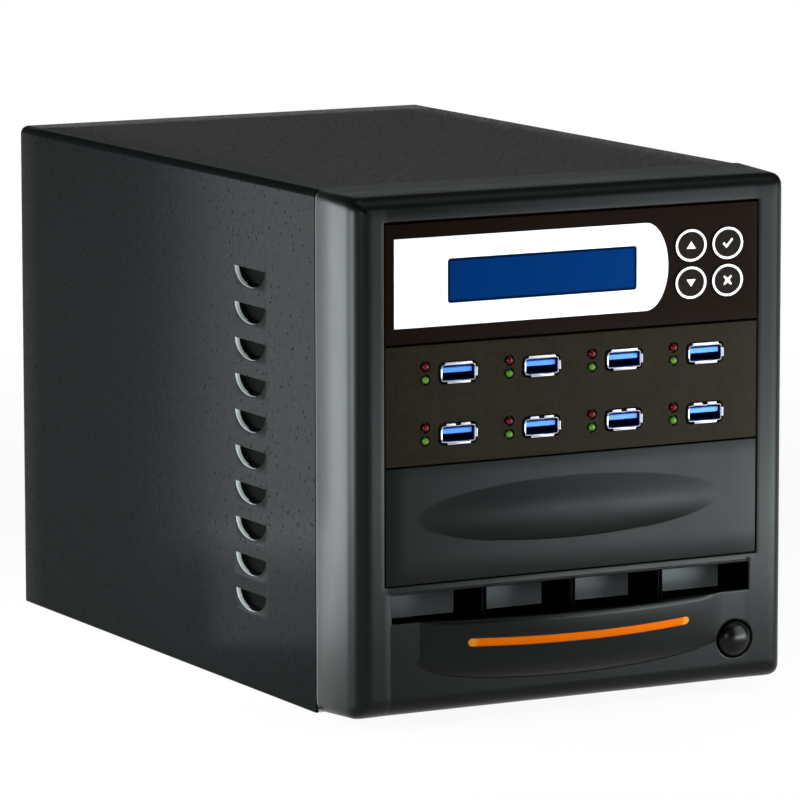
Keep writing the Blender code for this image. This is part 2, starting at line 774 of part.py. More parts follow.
def add_bezel(looks, origin):
    """The moulded front: a hollow frame with the bay aperture, recess, chin and button well."""
    outer = bezel_block(0, 0, BEZEL_REAR)
    bezel = piece("front_bezel", mesh_of("front_bezel", outer), looks["bezel"], origin)
    cut(bezel, bezel_block(BEZEL_WALL, BEZEL_FRONT_WALL, BEZEL_REAR + OVERRUN))
    inside = BEZEL_FRONT_WALL / 2
    half = APERTURE_HALF - RECESS_SIDE + RECESS_WALL
    pocket = block(
        (-half, inside, RECESS_FLOOR - RECESS_WALL),
        (half, RECESS_DEPTH + RECESS_WALL, RECESS_FLOOR + RECESS_HEIGHT + RECESS_WALL),
    )
    button = (BUTTON_X, BUTTON_Z)
    sleeve = drum(WELL_RADIUS + WELL_WALL, inside, WELL_DEPTH, button)
    column = (APERTURE_HALF + COVER_HALF - BEZEL_WALL + GAP) / 2
    rows = (PORT_BAY_BOTTOM, DISPLAY_MIDDLE)
    bosses = [
        drum(BOSS_RADIUS, inside, COVER_FRONT - GAP, spot, SCREW_STEPS)
        for spot in grid((-column, column), rows)
    ]
    join(bezel, pocket, sleeve, *bosses)
    join(bezel, chin_shape(0, 0, inside))
    through = BEZEL_FRONT_WALL + OVERRUN
    aperture = block(
        (-APERTURE_HALF, -OVERRUN, APERTURE_BOTTOM),
        (APERTURE_HALF, through, APERTURE_TOP),
    )
    cut(bezel, aperture, drum(BUTTON_BORE, -OVERRUN, WELL_STEP + OVERRUN, button), *recess_cells())
    hollow = chin_shape(BEZEL_WALL, 2 * BEZEL_WALL, through)
    cut(bezel, hollow, drum(WELL_RADIUS, WELL_STEP, WELL_DEPTH + OVERRUN, button))
    cut(bezel, bar_shape(GAP, BAR_PROUD + OVERRUN, BAR_DEPTH + CHIN_FORWARD))


def add_light_bar(looks, origin):
    """The translucent bar that follows the chin."""
    shape = bar_shape(0, BAR_PROUD, BAR_DEPTH - BAR_PROUD)
    piece("light_bar", mesh_of("light_bar", shape), looks["bar"], origin)


def add_power_button(looks, origin):
    """A domed button that slides back in its well, and the switch behind it."""
    flange = -WELL_STEP - GAP
    flange_back = flange - BUTTON_FLANGE_THICK
    stem_end = GAP + BUTTON_TRAVEL - WELL_DEPTH
    wide = BUTTON_RADIUS + BUTTON_FLANGE
    profile = dome(BUTTON_RADIUS, BUTTON_DOME, -BUTTON_SUNK, BUTTON_DOME_STEPS)
    profile += [(BUTTON_RADIUS, flange), (wide, flange), (wide, flange_back)]
    profile += [(BUTTON_STEM_RADIUS, flange_back), (BUTTON_STEM_RADIUS, stem_end), (0, stem_end)]
    mesh = profile_mesh("power_button", profile)
    button = piece("power_button", mesh, looks["button"], origin, (BUTTON_X, 0, BUTTON_Z))
    button.rotation_euler = (math.radians(90), 0, 0)
    spin(button, BUTTON_STEPS)
    half = WELL_RADIUS
    front = WELL_DEPTH + GAP
    shape = block(
        (BUTTON_X - half, front, BUTTON_Z - half),
        (BUTTON_X + half, front + SWITCH_DEPTH, BUTTON_Z + half),
    )
    piece("power_switch_body", mesh_of("power_switch_body", shape), looks["fan"], origin)


def bay_plate(name, bottom, top, look, origin):
    """A flush bay face with an arm bent back at each side, which lies along its rail."""
    face = block((-PLATE_HALF, 0, bottom), (PLATE_HALF, BAY_PLATE, top))
    plate = piece(name, mesh_of(name, face), look, origin)
    arms = []
    for side in (-1, 1):
        edges = sorted((side * PLATE_HALF, side * (PLATE_HALF - BAY_ARM)))
        low = (edges[0], BAY_PLATE / 2, bottom + BAY_ARM_INSET)
        arms.append(block(low, (edges[1], BAY_ARM_REACH, top - BAY_ARM_INSET)))
    join(plate, *arms)
    return plate


def label_outline(margin):
    """The label's outline: a straight left end, and a right end that is one wide arc."""
    half = LABEL_HEIGHT / 2
    radius = (half**2 + LABEL_BOW**2) / (2 * LABEL_BOW)
    centre = LABEL_NOSE - radius
    reach = math.asin(half / radius)
    left = LABEL_LEFT - margin
    points = [(left, half + margin), (left, -half - margin)]
    for step in range(LABEL_ARC_STEPS + 1):
        angle = reach * (2 * step / LABEL_ARC_STEPS - 1)
        x = centre + (radius + margin) * math.cos(angle)
        points.append((x, (radius + margin) * math.sin(angle)))
    return points


def plate_from(outline, front, rear, middle_z):
    """A flat plate between two depths, from an outline of X and Z about a middle height."""
    ring = [(x, middle_z + z) for x, z in outline]
    return loft([[(x, depth, z) for x, z in ring] for depth in (front, rear)])


def glass_block(margin, front, rear):
    """The display window, grown by a margin."""
    half = GLASS_HEIGHT / 2 + margin
    low = (GLASS_LEFT - margin, front, DISPLAY_MIDDLE - half)
    return block(low, (GLASS_RIGHT + margin, rear, DISPLAY_MIDDLE + half))


def key_spots():
    """The keys' places, by name."""
    upper = DISPLAY_MIDDLE + KEY_ROW_PITCH / 2
    lower = DISPLAY_MIDDLE - KEY_ROW_PITCH / 2
    return {
        "key_up": (KEY_LEFT, upper),
        "key_down": (KEY_LEFT, lower),
        "key_ok": (KEY_RIGHT, upper),
        "key_esc": (KEY_RIGHT, lower),
    }


def add_display_panel(looks, origin):
    """Face, label, window and display of the first bay."""
    bottom = DISPLAY_BAY_BOTTOM + GAP / 2
    top = APERTURE_TOP - GAP
    plate = bay_plate("lcd_faceplate", bottom, top, looks["plate"], origin)
    ear = KEY_RADIUS + KEY_EAR + GAP + KEY_BOARD_BOSS
    columns = (KEY_LEFT - ear, KEY_RIGHT + ear)
    rows = (DISPLAY_MIDDLE - KEY_ROW_PITCH, DISPLAY_MIDDLE + KEY_ROW_PITCH)
    bosses = [
        drum(KEY_BOARD_BOSS, BAY_PLATE / 2, KEY_BOARD_FRONT - GAP, spot, LAMP_STEPS)
        for spot in grid(columns, rows)
    ]
    join(plate, *bosses)
    recess = LABEL_THICK + GAP
    cut(plate, plate_from(label_outline(GAP), -OVERRUN, recess, DISPLAY_MIDDLE))
    through = BAY_PLATE + OVERRUN
    holes = [
        drum(KEY_RADIUS + GAP, -OVERRUN, through, spot, KEY_STEPS) for spot in key_spots().values()
    ]
    cut(plate, glass_block(GAP, -OVERRUN, through), *holes)
    film = plate_from(label_outline(0), 0, LABEL_THICK, DISPLAY_MIDDLE)
    label = piece("label_overlay", mesh_of("label_overlay", film), looks["label"], origin)
    cut(label, glass_block(GAP, -OVERRUN, LABEL_THICK + OVERRUN))
    glass = glass_block(0, GLASS_SUNK, BAY_PLATE)
    piece("lcd_window", mesh_of("lcd_window", glass), looks["glass"], origin)
    front = BAY_PLATE + GAP
    module = glass_block(DISPLAY_MARGIN, front, front + DISPLAY_DEPTH)
    piece("lcd_module", mesh_of("lcd_module", module), looks["board"], origin)


def add_keys(looks, origin):
    """Four round keys with ears behind the face, and the board that they press."""
    back = BAY_PLATE + GAP
    ear_back = back + KEY_EAR_THICK
    for name, (x, z) in key_spots().items():
        cap = drum(KEY_RADIUS, -KEY_PROUD, back + KEY_EAR_THICK / 2, steps=KEY_STEPS)
        key = piece(name, mesh_of(name, cap), looks["key"], origin, (x, 0, z))
        half = KEY_RADIUS + KEY_EAR
        join(key, block((-half, back, -KEY_EAR_HEIGHT / 2), (half, ear_back, KEY_EAR_HEIGHT / 2)))
        join(key, drum(KEY_STEM_RADIUS, back, KEY_REAR, steps=LAMP_STEPS))
    reach = KEY_RADIUS + KEY_EAR + GAP + 2 * KEY_BOARD_BOSS
    up = KEY_ROW_PITCH + KEY_BOARD_BOSS
    low = (KEY_LEFT - reach, KEY_BOARD_FRONT, DISPLAY_MIDDLE - up)
    high = (KEY_RIGHT + reach, KEY_BOARD_FRONT + BOARD, DISPLAY_MIDDLE + up)
    piece("key_board", mesh_of("key_board", block(low, high)), looks["board"], origin)


def port_spots():
    """The middles of the eight ports, upper row first, left to right."""
    spots = []
    for row in (1, -1):
        for column in range(PORT_COLUMNS):
            x = PORT_MIDDLE_X + (column - (PORT_COLUMNS - 1) / 2) * PORT_COLUMN_PITCH
            spots.append((x, PORT_MIDDLE_Z + row * PORT_ROW_PITCH / 2))
    return spots


def flare_outline(margin):
    """The port's flared mouth, a box with its corners cut."""
    half_x = PORT_FLARE_WIDTH / 2 + margin
    half_z = PORT_FLARE_HEIGHT / 2 + margin
    near_x = half_x - PORT_FLARE_CORNER
    near_z = half_z - PORT_FLARE_CORNER
    quarter = [(half_x, near_z), (near_x, half_z)]
    points = []
    for sign_x, sign_z in ((1, 1), (-1, 1), (-1, -1), (1, -1)):
        corner = [(sign_x * x, sign_z * z) for x, z in quarter]
        points += corner if sign_x * sign_z > 0 else corner[::-1]
    return points


def port_mesh(looks, origin):
    """One port: a flared shell with a blind mouth and the contact tongue in it."""
    half_x = PORT_BODY_WIDTH / 2
    half_z = PORT_BODY_HEIGHT / 2
    body = block((-half_x, -PORT_PROUD / 2, -half_z), (half_x, PORT_DEPTH, half_z))
    port = piece("port_pattern", mesh_of("port_pattern", body), looks["port"], origin)
    join(port, plate_from(flare_outline(0), -PORT_PROUD, PORT_FLARE_BACK, 0))
    mouth_x = half_x - PORT_SHELL
    mouth_z = half_z - PORT_SHELL
    mouth = block(
        (-mouth_x, -PORT_PROUD - OVERRUN, -mouth_z),
        (mouth_x, PORT_MOUTH_DEPTH, mouth_z),
    )
    cut(port, mouth)
    low = TONGUE_LIFT - TONGUE_HEIGHT / 2
    half = TONGUE_WIDTH / 2
    tongue = block((-half, TONGUE_SUNK, low), (half, PORT_MOUTH_DEPTH + OVERRUN, low + TONGUE_HEIGHT))
    join(port, tongue)
    bpy.context.view_layer.update()
    graph = bpy.context.evaluated_depsgraph_get()
    mesh = bpy.data.meshes.new_from_object(port.evaluated_get(graph))
    for modifier in port.modifiers:
        bpy.data.objects.remove(modifier.object, do_unlink=True)
    bpy.data.objects.remove(port, do_unlink=True)
    mesh.name = "usb_port"
    return mesh


def add_port_panel(looks, origin):
    """Face, ports, lamps and board of the second bay."""
    bottom = PORT_BAY_BOTTOM + GAP / 2
    top = DISPLAY_BAY_BOTTOM - GAP / 2
    plate = bay_plate("usb_faceplate", bottom, top, looks["plate"], origin)
    through = BAY_PLATE + OVERRUN
    profile = dome(LAMP_RADIUS, LAMP_PROUD, 0, LAMP_DOME_STEPS)
    profile += [(LAMP_RADIUS, -LAMP_BODY), (LAMP_LEAD_RADIUS, -LAMP_BODY)]
    profile += [(LAMP_LEAD_RADIUS, -PORT_DEPTH), (0, -PORT_DEPTH)]
    mesh = port_mesh(looks, origin)
    holes = []
    for number, (x, z) in enumerate(port_spots(), start=1):
        piece(f"usb_port_{number}", mesh, looks["port"], origin, (x, 0, z))
        holes.append(plate_from([(x + a, b) for a, b in flare_outline(GAP)], -OVERRUN, through, z))
        for colour, lift in (("red", RED_LIFT), ("green", -GREEN_DROP)):
            name = f"led_{colour}_{number}"
            spot = (x - LAMP_OFFSET, z + lift)
            place = (spot[0], 0, spot[1])
            lamp = piece(name, profile_mesh(name, profile), looks[colour], origin, place)
            lamp.rotation_euler = (math.radians(90), 0, 0)
            spin(lamp, LAMP_STEPS)
            holes.append(drum(LAMP_RADIUS + GAP, -OVERRUN, through, spot, LAMP_STEPS))
    cut(plate, *holes)
    half = PLATE_HALF - BAY_ARM - GAP
    front = PORT_DEPTH + GAP
    board = block(
        (-half, front, bottom + PORT_BOARD_MARGIN),
        (half, front + BOARD, top - PORT_BOARD_MARGIN),
    )
    piece("usb_board", mesh_of("usb_board", board), looks["board"], origin)


def add_blank_cover(looks, origin):
    """The third bay's plain face with its long oval swell."""
    bottom = APERTURE_BOTTOM + GAP
    top = PORT_BAY_BOTTOM - GAP / 2
    cover = bay_plate("blank_bay_cover", bottom, top, looks["bezel"], origin)
    swell = bmesh.new()
    bmesh.ops.create_uvsphere(swell, u_segments=OVAL_SIDES, v_segments=OVAL_SIDES // 2, radius=1)
    everything = swell.verts[:] + swell.edges[:] + swell.faces[:]
    bmesh.ops.bisect_plane(
        swell, geom=everything, dist=WELD, plane_co=(0, 0, 0), plane_no=(0, 1, 0), clear_outer=True
    )
    bmesh.ops.holes_fill(swell, edges=[edge for edge in swell.edges if edge.is_boundary])
    middle = APERTURE_BOTTOM + BLANK_BAY_HEIGHT / 2 + OVAL_RISE
    for vertex in swell.verts:
        depth = vertex.co.y * OVAL_PROUD if vertex.co.y < -GAP else BAY_PLATE / 2
        vertex.co.x = OVAL_X + vertex.co.x * OVAL_HALF_WIDTH
        vertex.co.z = middle + vertex.co.z * OVAL_HALF_HEIGHT
        vertex.co.y = depth
    join(cover, swell)


def add_rails(looks, origin):
    """The upright plates inside that the bay faces' arms lie along."""
    front = COVER_FRONT + SHEET + GAP
    floor = SHEET + GAP
    for name, side in (("bay_rail_left", -1), ("bay_rail_right", 1)):
        faces = sorted((side * APERTURE_HALF, side * (APERTURE_HALF + RAIL)))
        low = (faces[0], front, floor)
        shape = block(low, (faces[1], front + RAIL_DEPTH, APERTURE_TOP))
        rail = piece(name, mesh_of(name, shape), looks["steel"], origin)
        toe = sorted((side * APERTURE_HALF, side * (APERTURE_HALF + RAIL_TOE)))
        join(rail, block((toe[0], front, floor), (toe[1], front + RAIL_DEPTH, floor + RAIL)))


def add_feet(looks, origin):
    """Four rubber discs under the tray."""
    half = COVER_HALF - FOOT_INSET_X
    rows = (COVER_FRONT + FOOT_INSET_Y, COVER_REAR - FOOT_INSET_Y)
    names = ("foot_front_left", "foot_rear_left", "foot_front_right", "foot_rear_right")
    for name, (x, y) in zip(names, grid((-half, half), rows)):
        shape = post(FOOT_RADIUS, -FOOT_HEIGHT, -GAP, (0, 0), FOOT_STEPS)
        middle = -FOOT_HEIGHT / 2
        rounded(
            shape, FOOT_ROUND, FOOT_EDGE_STEPS, lambda edge: all(end.co.z < middle for end in edge.verts)
        )
        piece(name, mesh_of(name, shape), looks["rubber"], origin, (x, y, 0))


def add_fan_frame(looks, origin):
    """The fan's housing, with the motor plate on four struts at its inner end."""
    half = FAN_SIZE / 2
    shape = block((-half, FAN_FRONT, -half), (half, FAN_REAR, half))
    rounded(shape, FAN_CORNER, CORNER_STEPS, runs_along(1))
    frame = piece("fan_frame", mesh_of("fan_frame", shape), looks["fan"], origin, (FAN_X, 0, FAN_Z))
    cut(frame, drum(FAN_BORE, FAN_FRONT - OVERRUN, FAN_REAR + OVERRUN))
    plate_rear = FAN_FRONT + FAN_STRUT_THICK
    reach = FAN_BORE + FAN_RIM / 2
    for turn in (0, 90):
        bar = block((-reach, FAN_FRONT, -FAN_STRUT / 2), (reach, plate_rear, FAN_STRUT / 2))
        bar.transform(Matrix.Rotation(math.radians(turn), 4, "Y"))
        join(frame, bar)
    join(frame, drum(FAN_HUB_RADIUS, FAN_FRONT, plate_rear))


def blade(turn, middle):
    """One blade, lofted from inside the hub to the tip, with its pitch easing outward."""
    root = FAN_HUB_RADIUS - BLADE_THICK
    tip = FAN_BORE - BLADE_TIP_GAP
    rings = []
    for section in range(BLADE_SECTIONS + 1):
        share = section / BLADE_SECTIONS
        radius = root + (tip - root) * share
        chord = BLADE_ROOT_CHORD + (BLADE_TIP_CHORD - BLADE_ROOT_CHORD) * share
        pitch = math.radians(BLADE_ROOT_PITCH + (BLADE_TIP_PITCH - BLADE_ROOT_PITCH) * share)
        lean = math.radians(turn + BLADE_SWEEP * share)
        ring = []
        for along, across in ((-1, -1), (1, -1), (1, 1), (-1, 1)):
            run = along * chord / 2
            rise = across * BLADE_THICK / 2
            sideways = run * math.cos(pitch) - rise * math.sin(pitch)
            depth = middle + run * math.sin(pitch) + rise * math.cos(pitch)
            angle = lean + sideways / radius
            ring.append((radius * math.cos(angle), depth, radius * math.sin(angle)))
        rings.append(ring)
    return loft(rings)


def add_fan_rotor(looks, origin):
    """The hub with its blades, which turns about Y."""
    front = FAN_FRONT + FAN_STRUT_THICK + GAP
    rear = FAN_REAR - FAN_HUB_INSET
    place = (FAN_X, (front + rear) / 2, FAN_Z)
    half = (rear - front) / 2
    hub = drum(FAN_HUB_RADIUS, -half, half)
    rotor = piece("fan_rotor", mesh_of("fan_rotor", hub), looks["fan"], origin, place)
    join(rotor, *[blade(360 * number / BLADE_COUNT, 0) for number in range(BLADE_COUNT)])


def add_fan_guard(looks, origin):
    """Flat rings and two crossed bars with ears, outside the rear panel."""
    front = PANEL_REAR + GAP
    rear = front + GUARD_WIRE
    hole = FAN_SIZE / 2 - GUARD_HOLE_INSET
    corner = hole * math.sqrt(2)
    half = GUARD_BAR / 2
    bar = block((-corner, front, -half), (corner, rear, half))
    bar.transform(Matrix.Rotation(math.radians(45), 4, "Y"))
    guard = piece("fan_guard", mesh_of("fan_guard", bar), looks["wire"], origin, (FAN_X, 0, FAN_Z))
    other = block((-corner, front, -half), (corner, rear, half))
    other.transform(Matrix.Rotation(math.radians(-45), 4, "Y"))
    join(guard, other)
    holes = (-hole, hole)
    ears = [drum(GUARD_EAR, front, rear, spot, SCREW_STEPS) for spot in grid(holes, holes)]
    join(guard, *ears)
    outer = FAN_BORE - GUARD_WIRE
    for number in range(1, GUARD_RINGS + 1):
        radius = outer * number / GUARD_RINGS
        rings = []
        for depth, reach in ((front, 1), (rear, 1), (rear, -1), (front, -1)):
            rings.append((depth, radius + reach * GUARD_WIRE / 2))
        join(guard, hoop(rings))


def hoop(profile):
    """A ring about Y from a closed profile of depths and radii."""
    shape = bmesh.new()
    loops = []
    for step in range(GUARD_STEPS):
        angle = 2 * math.pi * step / GUARD_STEPS
        across = math.cos(angle)
        up = math.sin(angle)
        loops.append([shape.verts.new((far * across, depth, far * up)) for depth, far in profile])
    for index, first in enumerate(loops):
        second = loops[(index + 1) % GUARD_STEPS]
        for corner in range(len(profile)):
            after = (corner + 1) % len(profile)
            shape.faces.new((first[corner], first[after], second[after], second[corner]))
    return shape


def add_mains_inlet(looks, origin):
    """One moulding with the three-pin socket below and the rocker's pocket above."""
    half_x = INLET_WIDTH / 2
    half_z = INLET_HEIGHT / 2
    face = PANEL_REAR + GAP
    flange = block((-half_x, face, -half_z), (half_x, INLET_FACE, half_z))
    place = (INLET_X, 0, INLET_Z)
    inlet = piece("mains_inlet", mesh_of("mains_inlet", flange), looks["fan"], origin, place)
    body_x = half_x - INLET_BODY_INSET
    body_z = half_z - INLET_BODY_INSET
    back = PANEL_REAR - INLET_BODY_DEPTH
    join(inlet, block((-body_x, back, -body_z), (body_x, face + INLET_FLANGE / 2, body_z)))
    bottom = SOCKET_MARGIN - half_z
    floor = INLET_FACE - SOCKET_DEPTH
    socket = block(
        (-SOCKET_WIDTH / 2, floor, bottom),
        (SOCKET_WIDTH / 2, INLET_FACE + OVERRUN, bottom + SOCKET_HEIGHT),
    )
    along_y = runs_along(1)
    middle = bottom + SOCKET_HEIGHT / 2
    rounded(
        socket,
        SOCKET_CORNER,
        SOCKET_CORNER_STEPS,
        lambda edge: along_y(edge) and edge.verts[0].co.z > middle,
    )
    axis = ROCKER_AXIS_Z - INLET_Z
    reach = ROCKER_RADIUS + GAP
    pocket_x = ROCKER_WIDTH / 2 + GAP
    depth = ROCKER_BACK * math.cos(ROCKER_TILT) + ROCKER_BACK_HALF * math.sin(ROCKER_TILT) + GAP
    pocket = block(
        (-pocket_x, ROCKER_AXIS_Y - depth, axis - reach),
        (pocket_x, INLET_FACE + OVERRUN, axis + reach),
    )
    cut(inlet, socket, pocket)
    pins = []
    for x, rise in ((-PIN_SPREAD, -PIN_STAGGER), (0, PIN_STAGGER), (PIN_SPREAD, -PIN_STAGGER)):
        low = (x - PIN_WIDTH / 2, floor - OVERRUN, middle + rise - PIN_HEIGHT / 2)
        high = (x + PIN_WIDTH / 2, INLET_FACE - PIN_SUNK, middle + rise + PIN_HEIGHT / 2)
        pins.append(block(low, high))
    join(inlet, *pins)


def add_mains_rocker(looks, origin):
    """The rocker, tilted to its resting side; it turns about X at its middle."""
    outline = [
        (ROCKER_RISE, ROCKER_HALF),
        (ROCKER_DIP, 0),
        (ROCKER_RISE, -ROCKER_HALF),
        (-ROCKER_BACK, -ROCKER_BACK_HALF),
        (-ROCKER_BACK, ROCKER_BACK_HALF),
    ]
    half = ROCKER_WIDTH / 2
    shape = loft([[(x, y, z) for y, z in outline] for x in (-half, half)])
    place = (INLET_X, ROCKER_AXIS_Y, ROCKER_AXIS_Z)
    rocker = piece("mains_rocker", mesh_of("mains_rocker", shape), looks["button"], origin, place)
    rocker.rotation_euler = (-ROCKER_TILT, 0, 0)


def add_screws(looks, origin):
    """The four screws through the cover's rear flanges."""
    profile = [(0, SCREW_HEAD), (SCREW_HEAD_RADIUS, SCREW_HEAD), (SCREW_HEAD_RADIUS, 0)]
    profile += [(SCREW_RADIUS, 0), (SCREW_RADIUS, -SCREW_REACH), (0, -SCREW_REACH)]
    names = ("screw_left_low", "screw_left_high", "screw_right_low", "screw_right_high")
    for name, (x, z) in zip(names, screw_spots()):
        place = (x, COVER_REAR + GAP, z)
        screw = piece(name, profile_mesh(name, profile), looks["wire"], origin, place)
        screw.rotation_euler = (math.radians(-90), 0, 0)
        spin(screw, SCREW_STEPS)


def add_inner_boxes(looks, origin):
    """The supply on the floor behind, and the control board on its posts in front."""
    floor = SHEET + GAP
    left = SUPPLY_INSET - APERTURE_HALF
    supply = block(
        (left, CONTROL_REAR + SUPPLY_TO_BOARD, floor),
        (left + SUPPLY_WIDTH, SUPPLY_REAR, floor + SUPPLY_HEIGHT),
    )
    piece("power_supply", mesh_of("power_supply", supply), looks["steel"], origin)
    half = CONTROL_WIDTH / 2
    low = POST_HEIGHT + GAP
    board = block((-half, CONTROL_NEAR, low), (half, CONTROL_REAR, low + BOARD))
    piece("controller_board", mesh_of("controller_board", board), looks["board"], origin)


def main():
    clear_scene()
    origin = add_origin()
    looks = make_materials()
    add_cover(looks, origin)
    add_chassis(looks, origin)
    add_rear_panel(looks, origin)
    add_bezel(looks, origin)
    add_rails(looks, origin)
    add_feet(looks, origin)
    add_display_panel(looks, origin)
    add_keys(looks, origin)
    add_port_panel(looks, origin)
    add_blank_cover(looks, origin)
    add_light_bar(looks, origin)
    add_power_button(looks, origin)
    add_fan_frame(looks, origin)
    add_fan_rotor(looks, origin)
    add_fan_guard(looks, origin)
    add_mains_inlet(looks, origin)
    add_mains_rocker(looks, origin)
    add_screws(looks, origin)
    add_inner_boxes(looks, origin)


if __name__ == "__main__":
    main()
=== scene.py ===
"""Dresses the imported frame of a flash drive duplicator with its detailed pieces, finishes, lamps and camera."""

import math

import bmesh
import bpy
import numpy as np
from bpy.props import FloatProperty, FloatVectorProperty, IntProperty, PointerProperty
from bpy.types import Operator, Panel, PropertyGroup
from mathutils import Matrix, Vector


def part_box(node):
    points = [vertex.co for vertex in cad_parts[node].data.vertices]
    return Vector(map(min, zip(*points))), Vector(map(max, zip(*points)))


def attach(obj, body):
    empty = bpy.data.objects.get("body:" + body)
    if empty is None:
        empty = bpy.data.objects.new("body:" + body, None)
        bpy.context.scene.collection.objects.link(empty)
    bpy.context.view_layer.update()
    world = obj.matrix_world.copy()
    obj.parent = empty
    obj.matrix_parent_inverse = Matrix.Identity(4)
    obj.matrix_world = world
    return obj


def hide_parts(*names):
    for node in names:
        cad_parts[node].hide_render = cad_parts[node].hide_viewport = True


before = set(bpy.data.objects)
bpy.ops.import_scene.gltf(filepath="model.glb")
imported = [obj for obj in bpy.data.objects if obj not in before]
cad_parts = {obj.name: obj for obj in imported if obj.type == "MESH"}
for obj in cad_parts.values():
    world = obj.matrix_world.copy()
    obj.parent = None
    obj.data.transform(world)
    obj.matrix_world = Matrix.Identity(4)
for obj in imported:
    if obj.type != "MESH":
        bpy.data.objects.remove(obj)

bl_info = {
    "name": "Flash Drive Duplicator",
    "version": (1, 0, 0),
    "blender": (4, 5, 0),
    "location": "View3D > Sidebar > Duplicator",
    "description": "Detailed pieces, finishes and a small studio around the packed frame of a flash drive duplicator",
    "category": "Object",
}

MM = 0.001
MERGE = 0.004 * MM
SHARP = math.radians(35)
ORIGIN = np.array((0.0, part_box("lcd_faceplate")[0].y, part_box("top_cover")[0].z))


def span(node):
    """Lowest and highest corners of a CAD node as X, depth behind the front plane and height."""
    return tuple(np.array(corner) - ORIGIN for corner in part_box(node))


def middle(node):
    """Middle of a CAD node's box."""
    low, high = span(node)
    return (low + high) / 2


def spread(start, end, count, gathered=False):
    """Positions from start to end, even or gathered towards both ends as half a wave does."""
    share = np.linspace(0, 1, count)
    if gathered:
        share = (1 - np.cos(np.pi * share)) / 2
    return start + (end - start) * share


def rays(at, half, count):
    """Positions half to each side of a middle, where evenly turned rays from it meet the side of a square."""
    return at + half * np.tan(np.pi / 4 * np.linspace(-1, 1, count))


def circle(steps):
    """Evenly spaced angles once round."""
    return 2 * np.pi * np.arange(steps) / steps


def upright(x, h, depth):
    """Points at X and height, all at one depth."""
    return np.stack([x, 0 * x + depth, h], -1)


def block_at(centre, half):
    """Left, right, low and high sides of a block about its middle."""
    return (centre[0] - half[0], centre[0] + half[0], centre[1] - half[1], centre[1] + half[1])


def spot_of(node):
    """X and height of a CAD node's middle."""
    return middle(node)[[0, 2]]


def spots_of(nodes):
    """X and height of each node's middle, by node."""
    return {node: spot_of(node) for node in nodes}


def superellipse(angles, power):
    """Distance from the middle to |x|^n + |h|^n = 1 at each angle."""
    return (abs(np.cos(angles)) ** power + abs(np.sin(angles)) ** power) ** (-1 / power)


def merged(*runs):
    """One rising run of positions from several, each position once."""
    return np.unique(np.round(np.concatenate([np.atleast_1d(run) for run in runs]), 7))


def line_at(lines, position):
    """The number of the line at a position."""
    number = int(np.argmin(abs(lines - position)))
    if abs(lines[number] - position) > MERGE:
        raise RuntimeError(f"no line at {position}")
    return number


def ease(share):
    """A smooth step from 0 to 1."""
    share = np.clip(share, 0, 1)
    return share * share * (3 - 2 * share)


def border(patch):
    """The loop of points round a patch of rows and columns, from its low left corner, anticlockwise."""
    return np.concatenate([patch[0, :-1], patch[:-1, -1], patch[-1, :0:-1], patch[:0:-1, 0]])


